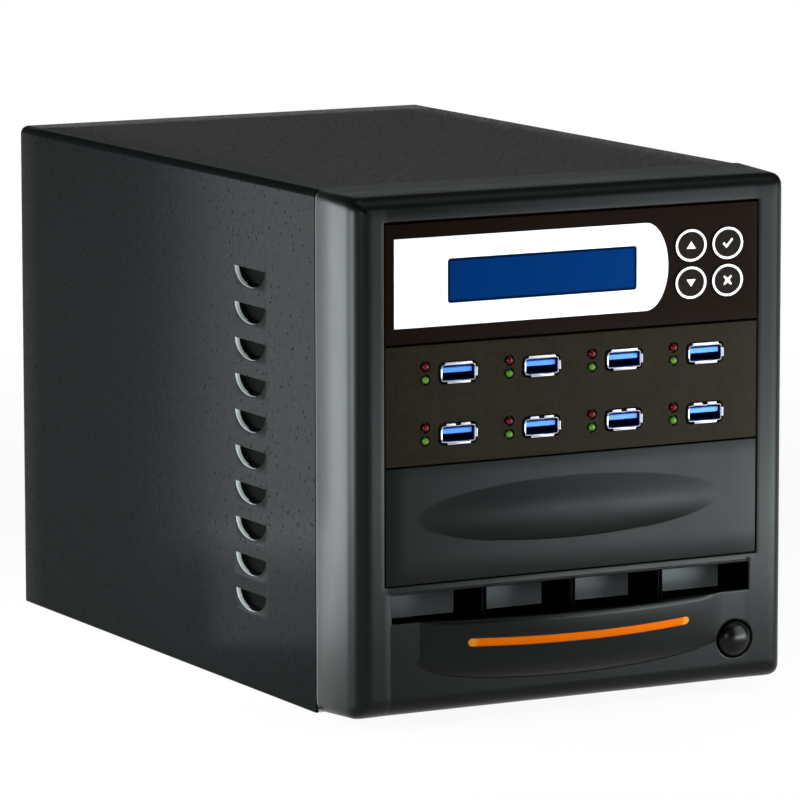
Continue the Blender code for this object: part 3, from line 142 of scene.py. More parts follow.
class Shell:
    """Grids of points that are sewn into one mesh."""

    def __init__(self):
        self.points = []
        self.faces = []
        self.finishes = []
        self.count = 0
        self.rear_plane = None

    def grid(self, points, around=False, turned=False, kept=None, finish=0):
        """Rows and columns of points become quads, which face the front when rows rise and columns run right."""
        points = np.asarray(points, float)
        rows, columns = points.shape[:2]
        index = self.count + np.arange(rows * columns).reshape(rows, columns)
        if around:
            index = np.hstack([index, index[:, :1]])
        quads = np.stack([index[:-1, :-1], index[:-1, 1:], index[1:, 1:], index[1:, :-1]], -1)
        if turned:
            quads = quads[..., ::-1]
        marks = np.broadcast_to(finish, quads.shape[:2])
        if kept is None:
            kept = np.ones(quads.shape[:2], bool)
        self.points.append(points.reshape(-1, 3))
        self.faces.append(quads[kept])
        self.finishes.append(marks[kept])
        self.count += rows * columns

    def tube(self, rings, turned=False, finish=0):
        """A closed form from like rings, each end drawn together to its middle."""
        rings = np.asarray(rings, float)
        first, last = (np.broadcast_to(ring.mean(0), ring.shape)[None] for ring in (rings[0], rings[-1]))
        self.grid(np.concatenate([first, rings, last]), around=True, turned=turned, finish=finish)

    def lathe(self, spot, profile, steps, finish=0, stretch=(1, 1)):
        """A profile of radius and depth turned about an axis that runs back through the spot, and stretched."""
        turn = circle(steps)
        profile = np.asarray(profile, float)
        x = spot[0] + stretch[0] * profile[:, :1] * np.cos(turn)
        h = spot[1] + stretch[1] * profile[:, :1] * np.sin(turn)
        depth = np.broadcast_to(profile[:, 1:], x.shape)
        self.grid(np.stack([x, depth, h], -1), around=True, turned=True, finish=finish)

    def made(self, name, body, looks, nodes=(), slot=None, wall=0.0, closed=True):
        """The object: doubles merged, normals set, then a wall inward where one is asked for. With a rear plane,
        depths are taken forward from it, so that what was built towards the front faces the rear."""
        points = np.concatenate(self.points)
        faces = np.concatenate(self.faces)
        if self.rear_plane is not None:
            points[:, 1] = self.rear_plane - points[:, 1]
            faces = faces[:, ::-1]
        points = points + ORIGIN
        mesh = bpy.data.meshes.new(name)
        mesh.vertices.add(len(points))
        mesh.vertices.foreach_set("co", points.ravel())
        mesh.loops.add(faces.size)
        mesh.loops.foreach_set("vertex_index", faces.ravel())
        mesh.polygons.add(len(faces))
        mesh.polygons.foreach_set("loop_start", np.arange(0, faces.size, 4))
        mesh.polygons.foreach_set("material_index", np.concatenate(self.finishes))
        mesh.update(calc_edges=True)
        shape = bmesh.new()
        shape.from_mesh(mesh)
        bmesh.ops.remove_doubles(shape, verts=shape.verts, dist=MERGE)
        loose = [vertex for vertex in shape.verts if not vertex.link_faces]
        bmesh.ops.delete(shape, geom=loose, context="VERTS")
        if closed and not wall:
            bmesh.ops.recalc_face_normals(shape, faces=shape.faces)
        open_edges = sum(edge.is_boundary for edge in shape.edges)
        tangled = sum(len(edge.link_faces) > 2 or not edge.link_faces for edge in shape.edges)
        twisted = sum(len(edge.link_faces) == 2 and not edge.is_contiguous for edge in shape.edges)
        cut_edges = np.array([edge.is_boundary for edge in shape.edges])
        shape.to_mesh(mesh)
        shape.free()
        if tangled or twisted or (closed and not wall and open_edges):
            raise RuntimeError(f"{name}: {open_edges} open, {tangled} tangled, {twisted} twisted edges")
        mesh.shade_smooth()
        mesh.set_sharp_from_angle(angle=SHARP)
        marks = mesh.attributes.get("sharp_edge") or mesh.attributes.new("sharp_edge", "BOOLEAN", "EDGE")
        sharp = np.empty(len(cut_edges), bool)
        marks.data.foreach_get("value", sharp)
        marks.data.foreach_set("value", sharp | cut_edges)
        for look in looks:
            mesh.materials.append(look)
        thing = bpy.data.objects.new(name, mesh)
        bpy.context.scene.collection.objects.link(thing)
        if wall:
            thickness = thing.modifiers.new("wall", "SOLIDIFY")
            thickness.thickness = wall
            thickness.offset = -1
        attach(thing, body)
        if nodes:
            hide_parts(*nodes)
        return thing


class Face(Shell):
    """A plate's front skin over lines across and up: blocks of its cells become wells, and its border rolls back."""

    def __init__(self, across, up, depth=None, height=None):
        super().__init__()
        self.across = merged(*across)
        self.up = merged(*up)
        self.depth = depth or (lambda x, h: 0.0 * x)
        x, h = np.meshgrid(self.across, self.up)
        if height:
            h = height(x, h)
        self.skin = np.stack([x, self.depth(x, h), h], -1)
        self.kept = np.ones((len(self.up) - 1, len(self.across) - 1), bool)

    def well(self, block, outline, table, floor=False, finish=0, approach=1):
        """Replaces a block of cells, left, right, low and high, by rings of the outline at each inset, depth and
        share of the skin's own depth; floor closes the last ring, and approach is the steps in which the skin
        itself closes in on the first ring."""
        left, right = (line_at(self.across, x) for x in block[:2])
        low, high = (line_at(self.up, h) for h in block[2:])
        self.kept[low:high, left:right] = False
        patch = self.skin[low : high + 1, left : right + 1]
        edge = border(patch)
        rings = [edge]
        first = np.stack(outline(edge[:, 0], edge[:, 2], table[0][0]), -1)
        for share in np.arange(1, approach) / approach:
            x, h = (edge[:, [0, 2]] * (1 - share) + first * share).T
            rings.append(np.stack([x, self.depth(x, h), h], -1))
        for inset, depth, follow in table:
            x, h = outline(edge[:, 0], edge[:, 2], inset)
            rings.append(np.stack([x, depth + follow * self.depth(x, h), h], -1))
        if floor:
            rings.append(np.broadcast_to(rings[-1].mean(0), edge.shape))
        self.grid(np.array(rings), around=True, finish=finish)

    def rim(self, table, steps, shape=None, floor=False, power=2):
        """Rolls the border back: each row of the table is a distance outward and a depth; corners fan out in
        steps along |x|^n + |h|^n = 1, and floor closes the last row."""
        skin, points, angles = self.skin, [], []
        for number, side in enumerate((skin[0], skin[:, -1], skin[-1, ::-1], skin[::-1, 0])):
            start = np.pi / 2 * (number - 1)
            arc = start + np.pi / 2 * np.arange(1, steps) / steps
            points += [side, np.repeat(side[-1:], len(arc), 0)]
            angles += [np.full(len(side), start), arc]
        points = np.concatenate(points)
        angles = np.concatenate(angles)
        reach = superellipse(angles, power)
        across, up = reach * np.cos(angles), reach * np.sin(angles)
        rings = [points]
        for out, depth in table:
            ring = points + np.stack([out * across, 0 * angles + depth, out * up], -1)
            rings.append(shape(ring) if shape else ring)
        if floor:
            rings.append(np.broadcast_to(rings[-1].mean(0), points.shape))
        self.grid(np.array(rings), around=True, turned=True)

    def made(self, *args, **options):
        """Adds the cells that no well has replaced, then makes the object."""
        self.grid(self.skin, kept=self.kept)
        return super().made(*args, **options)


def oval(centre, half, power=2):
    """Outline of a well: |x/a|^n + |h/b|^n = 1 about the centre, both halves drawn in by the inset."""

    def outline(x, h, inset):
        turn = np.arctan2((h - centre[1]) / half[1], (x - centre[0]) / half[0])
        reach = superellipse(turn, power)
        across, up = (half[0] - inset) * reach, (half[1] - inset) * reach
        return centre[0] + across * np.cos(turn), centre[1] + up * np.sin(turn)

    return outline


def square(centre, half, cut=0.0):
    """Outline of a square-cornered well: the block's own border drawn in about its middle, the upper corners cut
    off where |x| + h would pass the corner's own sum less the cut."""

    def outline(x, h, inset):
        across = (x - centre[0]) * (1 - inset / half[0])
        up = (h - centre[1]) * (1 - inset / half[1])
        past = np.maximum(abs(across) + up - (half[0] + half[1] - 2 * inset - cut), 0) / 2 if cut else 0
        return centre[0] + across - past * np.sign(across), centre[1] + up - past

    return outline


def lip(radius, rows=3):
    """Rows of inset and depth of a quarter round that turns into a hole."""
    turn = np.pi / 2 * np.arange(1, rows + 1) / rows
    return [(radius * np.sin(t), radius * (1 - np.cos(t))) for t in turn]


def rounded_ring(low, high, inset, radius, depth, steps):
    """A rectangle between two corners, drawn in by the inset, whose corners are quarter rounds of so many points."""
    centre, half = (low + high) / 2, (high - low) / 2
    turn = np.pi / 2 * np.arange(steps) / (steps - 1)
    corner = np.concatenate([turn + np.pi / 2 * quarter for quarter in range(4)])
    x = centre[0] + np.repeat((1, -1, -1, 1), steps) * (half[0] - inset - radius) + radius * np.cos(corner)
    h = centre[2] + np.repeat((1, 1, -1, -1), steps) * (half[2] - inset - radius) + radius * np.sin(corner)
    return upright(x, h, depth)


def drawn_in(points, low, high, radius):
    """Points of a square outline whose corners are drawn in to quarter rounds."""
    core = np.clip(points, low + radius, high - radius)
    away = points - core
    return core + away * radius / np.maximum(np.hypot(*away.T), radius)[:, None]


def pad(shell, low, high, edge, finish=0):
    """A closed block whose edges are rounded off: rounded rectangles carried back, drawn in at both ends."""
    low, high = np.array(low), np.array(high)
    table = ((edge, low[1]), (0, low[1] + edge), (0, high[1] - edge), (edge, high[1]))
    rings = [rounded_ring(low, high, inset, max(edge - inset, edge / 4), depth, 4) for inset, depth in table]
    shell.tube(rings, turned=True, finish=finish)


def disc(radius, front, back, soft):
    """Profile of a round plate whose two edges are bevelled off."""
    rim = [(radius - soft, front), (radius, front + soft), (radius, back - soft), (radius - soft, back)]
    return [(0, front), *rim, (0, back)]


# Finishes


class Value:
    """A shader socket in a sum: each operator adds the Math node that works it out."""

    def __init__(self, recipe, socket):
        self.recipe = recipe
        self.socket = socket

    def math(self, operation, *values):
        return self.recipe.node("Math", {"operation": operation}, dict(enumerate(values)))

    def __add__(self, other):
        return self.math("ADD", self, other)

    def __sub__(self, other):
        return self.math("SUBTRACT", self, other)

    def __rsub__(self, other):
        return self.math("SUBTRACT", other, self)

    def __mul__(self, other):
        return self.math("MULTIPLY", self, other)

    def __pow__(self, other):
        return self.math("POWER", self, other)

    def __abs__(self):
        return self.math("ABSOLUTE", self)

    __radd__ = __add__
    __rmul__ = __mul__

    def least(self, other):
        return self.math("MINIMUM", self, other)

    def most(self, other):
        return self.math("MAXIMUM", self, other)

    def step(self, low, high):
        """A smooth rise from 0 at low to 1 at high."""
        return self.recipe.node(
            "MapRange",
            {"interpolation_type": "SMOOTHSTEP", "clamp": True},
            {"Value": self, "From Min": low, "From Max": high},
        )


class Recipe:
    """The nodes of one new material, or of one new world, and the place that their patterns read."""

    def __init__(self, name, made_in="materials", place="Object"):
        self.block = getattr(bpy.data, made_in).new(name)
        self.block.use_nodes = True
        self.tree = self.block.node_tree
        self.tree.nodes.clear()
        self.here = self.node("TexCoord", output=place)

    def node(self, kind, settings=None, inputs=None, output=0):
        """Adds a node, sets what it is and links or sets its sockets."""
        made = self.tree.nodes.new("ShaderNode" + kind)
        for key, value in (settings or {}).items():
            setattr(made, key, value)
        for key, value in (inputs or {}).items():
            socket = made.inputs[key]
            if isinstance(value, Value):
                self.tree.links.new(value.socket, socket)
            elif hasattr(value, "__len__") and len(value) == 3 and socket.type == "RGBA":
                socket.default_value = (*value, 1)
            else:
                socket.default_value = value
        return Value(self, made.outputs[output]) if len(made.outputs) else made

    def axis(self, letter):
        """One of the place's three numbers, in metres."""
        return self.node("SeparateXYZ", inputs={0: self.here}, output=letter)

    def stretched(self, scale):
        """The place with each axis scaled, for patterns that run along one of them."""
        return self.node("Mapping", inputs={"Vector": self.here, "Scale": scale})

    def noise(self, size, detail, roughness, place=None):
        """Soft noise whose lumps are about that size."""
        inputs = {"Vector": place or self.here, "Scale": 1 / size, "Detail": detail, "Roughness": roughness}
        return self.node("TexNoise", inputs=inputs)

    def cells(self, size, output="Distance", settings=None):
        """Distance to, or the colour of, scattered cells of about that size."""
        return self.node("TexVoronoi", settings, {"Vector": self.here, "Scale": 1 / size}, output)

    def mix(self, share, first, second):
        """A colour between two."""
        return self.node("Mix", {"data_type": "RGBA"}, {0: share, 6: first, 7: second}, 2)

    def shade(self, colour, factor):
        """A colour made darker or lighter by a factor."""
        grey = self.node("CombineColor", inputs={0: factor, 1: factor, 2: factor})
        settings = {"data_type": "RGBA", "blend_type": "MULTIPLY"}
        return self.node("Mix", settings, {0: 1.0, 6: colour, 7: grey}, 2)

    def bump(self, height, distance, strength):
        """The normal of a relief whose height is in shares of the distance."""
        return self.node("Bump", inputs={"Height": height, "Distance": distance, "Strength": strength})

    def surface(self, **sockets):
        """The shader, its sockets named with _ for a space, and the material."""
        named = {key.replace("_", " "): value for key, value in sockets.items()}
        shader = self.node("BsdfPrincipled", inputs=named)
        self.node("OutputMaterial", inputs={"Surface": shader})
        return self.block


def powder_coat(name, colour):
    """Black powder coat: a fine orange peel, soft mottling and scattered dark pits."""
    recipe = Recipe(name)
    peel = recipe.noise(1.3 * MM, 3, 0.6)
    mottle = recipe.noise(2.2 * MM, 3, 0.6)
    pits = recipe.cells(3.2 * MM).step(0.08, 0.2)
    tone = (0.45 + 0.7 * mottle + 0.4 * peel) * (0.4 + 0.6 * pits)
    bump = recipe.bump(peel + 0.5 * pits, 0.09 * MM, 0.45)
    return recipe.surface(
        Base_Color=recipe.shade(colour, tone),
        Roughness=0.16 + 0.08 * mottle.step(0.3, 0.7) + 0.4 * (1 - pits),
        Specular_IOR_Level=0.01,
        Normal=bump,
    )


def moulded(name, colour, grain=0.35 * MM, depth=0.02 * MM, roughness=0.24, gloss=0.1, rim=None):
    """Moulded plastic with a fine spark-eroded grain and faint handling marks; rim is the distance from the middle
    and the Y past which the back edge of the sides is painted lighter as a painted highlight."""
    recipe = Recipe(name)
    fine = recipe.noise(grain, 2, 0.6)
    worn = recipe.noise(24 * MM, 4, 0.6)
    tone = recipe.shade(colour, 0.86 + 0.2 * worn + 0.1 * fine)
    if rim:
        # Painted highlight: the back edge of the sides is painted lighter, standing in for light caught by the rim.
        rim_highlight = abs(recipe.axis("X")).step(rim[0] - 0.1 * MM, rim[0])
        rim_highlight = rim_highlight * recipe.axis("Y").step(rim[1] - 0.1 * MM, rim[1])
        tone = recipe.mix(rim_highlight * (0.75 + 0.25 * worn), tone, (0.06, 0.062, 0.063))
    return recipe.surface(
        Base_Color=tone,
        Roughness=roughness + 0.1 * worn + 0.06 * fine,
        Specular_IOR_Level=gloss,
        Normal=recipe.bump(fine, depth, 0.5),
    )


def woven_panel(name, colour):
    """Matt painted panel with a faint cross-hatched screen print."""
    recipe = Recipe(name)
    across = recipe.noise(1.2 * MM, 2, 0.5, recipe.stretched((0.25, 1, 1.6)))
    up = recipe.noise(1.2 * MM, 2, 0.5, recipe.stretched((1.6, 1, 0.25)))
    cloud = recipe.noise(18 * MM, 3, 0.6)
    weave = across + up
    return recipe.surface(
        Base_Color=recipe.shade(colour, 0.1 + 0.8 * weave + 0.2 * cloud),
        Roughness=0.42 + 0.12 * weave,
        Specular_IOR_Level=0.03,
        Normal=recipe.bump(weave, 0.02 * MM, 0.5),
    )


def glossy(name, colour, roughness, gloss):
    """Smooth moulded gloss with a trace of polish marks."""
    recipe = Recipe(name)
    haze = recipe.noise(6 * MM, 4, 0.65)
    fine = recipe.noise(0.5 * MM, 2, 0.5)
    return recipe.surface(
        Base_Color=recipe.shade(colour, 0.94 + 0.12 * haze),
        Roughness=roughness * (0.8 + 0.4 * haze),
        Specular_IOR_Level=gloss,
        Normal=recipe.bump(fine, 0.004 * MM, 0.3),
    )


def printed_film(name, colour):
    """White polyester film with a fine satin tooth."""
    recipe = Recipe(name)
    tooth = recipe.noise(0.25 * MM, 2, 0.5)
    cloud = recipe.noise(20 * MM, 3, 0.5)
    return recipe.surface(
        Base_Color=recipe.shade(colour, 0.985 + 0.02 * cloud + 0.01 * tooth),
        Roughness=0.42 + 0.1 * tooth,
        Specular_IOR_Level=0.1,
        Normal=recipe.bump(tooth, 0.005 * MM, 0.4),
    )


def display_glass(name, colour, low, high):
    """Blue display window, darker along its printed edge."""
    recipe = Recipe(name)
    x, z = recipe.axis("X"), recipe.axis("Z")
    inside = (x - low[0]).least(high[0] - x).least((z - low[2]).least(high[2] - z))
    field = inside.step(0.6 * MM, 1.0 * MM)
    cloud = recipe.noise(30 * MM, 2, 0.5)
    tone = recipe.shade(colour, 0.94 + 0.12 * cloud)
    dark = tuple(share * 0.28 for share in colour)
    return recipe.surface(
        Base_Color=recipe.mix(field, dark, tone),
        Roughness=0.3 + 0.05 * cloud,
        Specular_IOR_Level=0.005,
    )


def metal(name, colour, roughness):
    """Plated or bare metal with fine rolling marks."""
    recipe = Recipe(name)
    marks = recipe.noise(0.5 * MM, 3, 0.6)
    cloud = recipe.noise(9 * MM, 3, 0.6)
    return recipe.surface(
        Base_Color=recipe.shade(colour, 0.88 + 0.12 * marks + 0.08 * cloud),
        Metallic=1.0,
        Roughness=roughness + 0.12 * marks,
        Normal=recipe.bump(marks, 0.006 * MM, 0.4),
    )


def zinc_sheet(name, colour):
    """Zinc-plated steel sheet with its crystal spangle."""
    recipe = Recipe(name)
    flakes = recipe.cells(7 * MM, "Color")
    flake = recipe.node("SeparateColor", inputs={0: flakes})
    fine = recipe.noise(0.6 * MM, 3, 0.6, recipe.stretched((1, 1, 0.15)))
    return recipe.surface(
        Base_Color=recipe.shade(colour, 0.8 + 0.18 * flake + 0.1 * fine),
        Metallic=1.0,
        Roughness=0.3 + 0.14 * flake + 0.08 * fine,
        Normal=recipe.bump(flake + fine, 0.01 * MM, 0.3),
    )


def circuit(name, colour):
    """Green solder mask with lighter copper tracks under it and pale print."""
    recipe = Recipe(name)
    tracks = recipe.cells(2.2 * MM, settings={"distance": "MANHATTAN"}).step(0.3, 0.34)
    holes = recipe.cells(3.3 * MM).step(0.12, 0.15)
    light = tuple(share * 1.9 for share in colour)
    base = recipe.mix(tracks, light, colour)
    return recipe.surface(
        Base_Color=recipe.mix(holes, (0.5, 0.42, 0.2), base),
        Roughness=0.35 + 0.1 * tracks,
        Specular_IOR_Level=0.4,
        Normal=recipe.bump(tracks, -0.02 * MM, 0.5),
    )


def lamp_lens(name, colour):
    """Tinted lamp lens with painted light: lighter where it faces the camera as a painted highlight, and darker towards
    its rim as painted shade.
    """
    recipe = Recipe(name)
    cloud = recipe.noise(1.2 * MM, 2, 0.5)
    painted_highlight = tuple(min(share * 1.5, 1) for share in colour)
    facing = recipe.node("LayerWeight", inputs={"Blend": 0.35}, output="Facing")
    return recipe.surface(
        # Painted highlight where the lens faces the camera, painted shade towards its rim.
        Base_Color=recipe.mix(facing.step(0.0, 0.45), painted_highlight, tuple(share * 0.25 for share in colour)),
        Roughness=0.16 + 0.06 * cloud,
        Specular_IOR_Level=0.18,
    )


def light_pipe(name, colour, tip, half):
    """Orange light pipe: even along its length, paler where it turns in at the ends."""
    recipe = Recipe(name)
    x = abs(recipe.axis("X"))
    end = x.step(half * 0.92, half * 0.95)
    cloud = recipe.noise(7 * MM, 3, 0.6)
    body = recipe.shade(colour, 0.9 + 0.2 * cloud)
    return recipe.surface(
        Base_Color=recipe.mix(end, body, tip),
        Roughness=0.34 + 0.08 * cloud,
        Specular_IOR_Level=0.01,
    )


def rubber(name, colour, gloss=0.2):
    """Black rubber, matt and slightly dusty."""
    recipe = Recipe(name)
    dust = recipe.noise(3 * MM, 4, 0.7)
    fine = recipe.noise(0.4 * MM, 2, 0.5)
    return recipe.surface(
        Base_Color=recipe.shade(colour, 0.8 + 0.5 * dust),
        Roughness=0.7 + 0.15 * dust,
        Specular_IOR_Level=gloss,
        Normal=recipe.bump(fine + dust, 0.03 * MM, 0.5),
    )


# Sizes and colours that a user would change


def length(name, default, about):
    return FloatProperty(name=name, description=about, default=default, min=0, unit="LENGTH", precision=5)


def tint(name, default, about):
    return FloatVectorProperty(name=name, description=about, default=default, size=3, min=0, max=1, subtype="COLOR")


def amount(name, default, about):
    return IntProperty(name=name, description=about, default=default, min=1)


class CoverSettings(PropertyGroup):
    sheet: length("Sheet", 0.8 * MM, "Thickness of the folded sheet")
    bend: length("Bend", 3 * MM, "Outer radius of the long bends")
    flange: length("Flange", 10 * MM, "Width of the flange at the rear")
    louvres: amount("Louvres", 10, "Louvres in each side")
    louvre_length: length("Louvre length", 23.6 * MM, "Length of each louvre's slit")
    louvre_drop: length("Louvre drop", 6.8 * MM, "Height of each louvre below its slit")
    louvre_depth: length("Louvre depth", 3.2 * MM, "How far each louvre is pressed in")
    louvre_pitch: length("Louvre pitch", 12.76 * MM, "Height from one louvre to the next")
    louvre_middle: length("Louvre middle", 78.6 * MM, "Depth of the louvres' middle behind the front")
    louvre_top: length("Top slit", 149.25 * MM, "Height of the highest slit")
    paint: tint("Paint", (0.003, 0.0034, 0.0035), "Colour of the powder coat")


class BezelSettings(PropertyGroup):
    wall: length("Wall", 1.4 * MM, "Thickness of the moulded wall")
    edge: length("Edge", 6 * MM, "Radius of the front edges")
    chin: length("Chin", 9.3 * MM, "How far the chin stands out")
    chin_half: length("Chin half", 60.384 * MM, "Half the width of the chin")
    bar_half: length("Bar half", 44.14 * MM, "Half the length of the light bar")
    bar_height: length("Bar height", 3.2 * MM, "Height of the light bar")
    plastic: tint("Plastic", (0.0018, 0.0022, 0.0023), "Colour of the moulded front")
    bar: tint("Light bar", (0.44, 0.082, 0.0006), "Colour of the light bar")
    bar_tip: tint("Light bar ends", (0.45, 0.15, 0.013), "Colour of the light bar's ends")
    button: tint("Button", (0.0008, 0.0008, 0.0009), "Colour of the power button")


class PanelSettings(PropertyGroup):
    plate: length("Plate", 3 * MM, "Thickness of the bay plates")
    display_plate: tint("Display plate", (0.0065, 0.0034, 0.0022), "Colour of the plate round the display")
    port_plate: tint("Port plate", (0.0118, 0.0092, 0.0046), "Colour of the plate round the ports")
    label: tint("Label", (0.86, 0.86, 0.86), "Colour of the label film")
    display: tint("Display", (0.0, 0.021, 0.106), "Colour of the display window")
    tongue: tint("Tongue", (0.06, 0.23, 0.8), "Colour of the ports' contact tongues")
    red: tint("Red lamp", (0.07, 0.0004, 0.0015), "Colour of the red lamps")
    green: tint("Green lamp", (0.055, 0.135, 0.012), "Colour of the green lamps")
    key_ring: length("Key ring", 0.85 * MM, "Width of the printed ring on each key")


class RearSettings(PropertyGroup):
    zinc: tint("Zinc", (0.5, 0.51, 0.53), "Colour of the plated steel")
    housing: tint("Housing", (0.022, 0.022, 0.023), "Colour of the fan and the inlet")
    board: tint("Board", (0.012, 0.07, 0.03), "Colour of the circuit boards")


class StageSettings(PropertyGroup):
    floor: tint("Floor", (0.86, 0.86, 0.86), "Colour of the floor")
    camera_x: FloatProperty(name="Camera X", description="Camera's place", default=-0.99569, unit="LENGTH")
    camera_y: FloatProperty(name="Camera Y", description="Camera's place", default=-1.877249, unit="LENGTH")
    camera_z: FloatProperty(name="Camera Z", description="Camera's place", default=0.41213, unit="LENGTH")
    lens: FloatProperty(name="Lens", description="Focal length in millimetres", default=264.45, min=1)


class DuplicatorSettings(PropertyGroup):
    cover: PointerProperty(type=CoverSettings)
    bezel: PointerProperty(type=BezelSettings)
    panels: PointerProperty(type=PanelSettings)
    rear: PointerProperty(type=RearSettings)
    stage: PointerProperty(type=StageSettings)


# Cover


def cover_outline(inset, settings, sides):
    """X and height of the folded sheet's outline, from the low left end over the top to the low right end."""
    _, high = span("top_cover")
    half, top = high[0] - inset, high[2] - inset
    radius = max(settings.bend - inset, 0)
    turn = np.pi / 2 * np.arange(1, 6) / 6
    left = np.stack([0 * sides - half, sides], -1)
    bend = np.stack([radius - half - radius * np.cos(turn), top - radius + radius * np.sin(turn)], -1)
    over = spread(radius - half, half - radius, 13)
    roof = np.stack([over, 0 * over + top], -1)
    mirror = np.array((-1, 1))
    return np.concatenate([left, bend, roof, bend[::-1] * mirror, left[::-1] * mirror])


# The rings of a louvre's dish: share of its half length and drop, and share of its full depth.
LOUVRE_PRESS = (
    (1.0, 0.0),
    (0.985, 0.02),
    (0.965, 0.09),
    (0.945, 0.22),
    (0.925, 0.38),
    (0.905, 0.56),
    (0.885, 0.74),
    (0.865, 0.88),
    (0.84, 0.97),
    (0.8, 1.0),
    (0.5, 1.0),
    (0.0, 1.0),
)
# The dish's rim is painted lighter as a painted highlight outside this share, and only outside this much more on its
# front side.
LOUVRE_HIGHLIGHT = 0.925
LOUVRE_HIGHLIGHT_LESS = 0.06
REAR_FOLD = 1.2 * MM


def make_cover(settings, looks):
    """The cover is its outline carried back; each louvre is half a dish pressed in below a straight slit:
    a point at angle t and share q lies q(a cos t, -b sin t) from the slit's middle, and as far inward as the
    press table says for that share. Its floor is painted near-black as painted shade, and its rim is painted lighter as
    a painted highlight, more widely on the rear side."""
    low, high = span("top_cover")
    a, b = settings.louvre_length / 2, settings.louvre_drop
    wide, deep = a + 1.6 * MM, b + 1.4 * MM
    slits = settings.louvre_top - settings.louvre_pitch * np.arange(settings.louvres)
    sides = merged(
        spread(low[2], slits[-1] - deep, 4),
        *[spread(slit - deep, slit, 6) for slit in slits],
        spread(slits[0], high[2] - settings.bend, 5),
    )
    middle_at = settings.louvre_middle
    depths = merged(
        low[1],
        low[1] + 1 * MM,
        spread(low[1] + 1 * MM, middle_at - wide, 4),
        middle_at - wide,
        spread(middle_at - a, middle_at + a, 23, True),
        middle_at + wide,
        spread(middle_at + wide, high[1] - REAR_FOLD, 12),
    )
    shell = Shell()
    outline = cover_outline(0, settings, sides)
    rows, columns = len(outline), len(depths)
    skin = np.empty((rows, columns, 3))
    skin[..., 0] = outline[:, :1]
    skin[..., 1] = depths
    skin[..., 2] = outline[:, 1:]
    kept = np.ones((rows - 1, columns - 1), bool)
    start, stop = (line_at(depths, middle_at + away) for away in (-wide, wide))
    share, fall = np.array(LOUVRE_PRESS).T[..., None]
    for slit in slits:
        first, last = line_at(sides, slit - deep), line_at(sides, slit)
        for side in (-1, 1):
            block = slice(first, last) if side < 0 else slice(rows - 1 - last, rows - 1 - first)
            kept[block, start:stop] = False
            rim = np.concatenate(
                [
                    np.stack([np.full(last - first, depths[stop]), sides[last:first:-1]], -1),
                    np.stack([depths[stop:start:-1], np.full(stop - start, sides[first])], -1),
                    np.stack([np.full(last - first + 1, depths[start]), sides[first : last + 1]], -1),
                ]
            )
            turn = np.arctan2((slit - rim[:, 1]) / deep, (rim[:, 0] - middle_at) / wide)
            ring_y = middle_at + a * share * np.cos(turn)
            ring_h = slit - b * share * np.sin(turn)
            inward = np.broadcast_to(settings.louvre_depth * fall, ring_y.shape)
            dish = np.stack([side * (high[0] - inward), ring_y, ring_h], -1)
            edge = np.stack([np.full(len(rim), side * high[0]), *rim.T], -1)
            rearward = np.clip(0.4 + np.cos(turn[:-1]) / 0.7, 0, 1)
            # Finish 1 is painted shade on the dish's floor, and finish 2 a painted highlight on its rim, wider on the
            # rear side.
            marks = np.where(share < LOUVRE_HIGHLIGHT + LOUVRE_HIGHLIGHT_LESS * (1 - rearward), 1, 2)
            marks[share[:, 0] == 1] = 0
            shell.grid(np.concatenate([edge[None], dish]), turned=side > 0, finish=marks)
    shell.grid(skin, kept=kept, turned=True)
    fold = [(0, 0), *((inset, back) for back, inset in lip(REAR_FOLD))]
    tail = []
    for inset, back in [*fold, (settings.flange, REAR_FOLD)]:
        ring = cover_outline(inset, settings, sides)
        tail.append(upright(*ring.T, high[1] - REAR_FOLD + back))
    shell.grid(np.array(tail).transpose(1, 0, 2), turned=True)
    looks = [looks["paint"], looks["louvre"], looks["louvre_edge"]]
    shell.made("case_cover", "case", looks, ["top_cover"], "cover", wall=settings.sheet, closed=False)


# Front moulding

# The chin's lowest edge, its climb to the ends and its rolled lip; then the panel below the bays, which lies back.
CHIN_LOW, CHIN_CLIMB, CHIN_ROLL = 11.0 * MM, 8.7 * MM, 1.4 * MM
PANEL_HALF = 72.6 * MM
SUNK_BELOW, SUNK_STEP = 45.4 * MM, 0.3 * MM
# The recess above the chin, and how far the bezel's top rises towards the rear.
RECESS_HALF = 71.1 * MM
RECESS_LOW, RECESS_HIGH = 34.5 * MM, 44.3 * MM
RECESS_DEEP, RECESS_DROP = 21 * MM, 2.2 * MM
TOP_RISE = 1.5 * MM


def chin_edge(x, settings):
    """Height of the chin's lower edge: lowest at the middle, and climbing along half an ellipse to its ends."""
    share = np.minimum(abs(x) / settings.chin_half, 1)
    return CHIN_LOW + CHIN_CLIMB * (1 - np.sqrt(1 - share**2))


def chin_forward(x, h, settings):
    """How far the chin stands out: a parabola across with round ends, times a quarter ellipse up to its lip at the
    recess, which is rolled back by a quarter round."""
    share = np.minimum(abs(x) / settings.chin_half, 1)
    ends = np.where(x > 0, 0.3, 0.9) * MM
    across = (ends + (settings.chin - ends) * (1 - share**2)) * np.sqrt(1 - share**16)
    edge = chin_edge(x, settings)
    rise = np.clip((h - edge) / (RECESS_LOW - edge), 0, 1)
    roll = np.minimum(CHIN_ROLL, 0.45 * across) + MERGE
    over = np.clip((h - (RECESS_LOW - roll)) / roll, 0, 1)
    return across * np.sqrt(1 - (1 - rise) ** 2) - roll * (1 - np.sqrt(1 - over**2))


def bar_middle(x, settings):
    """Height of the light bar's middle line, a shallow parabola."""
    return 25.8 * MM + 0.8 * MM * (x / settings.bar_half) ** 2


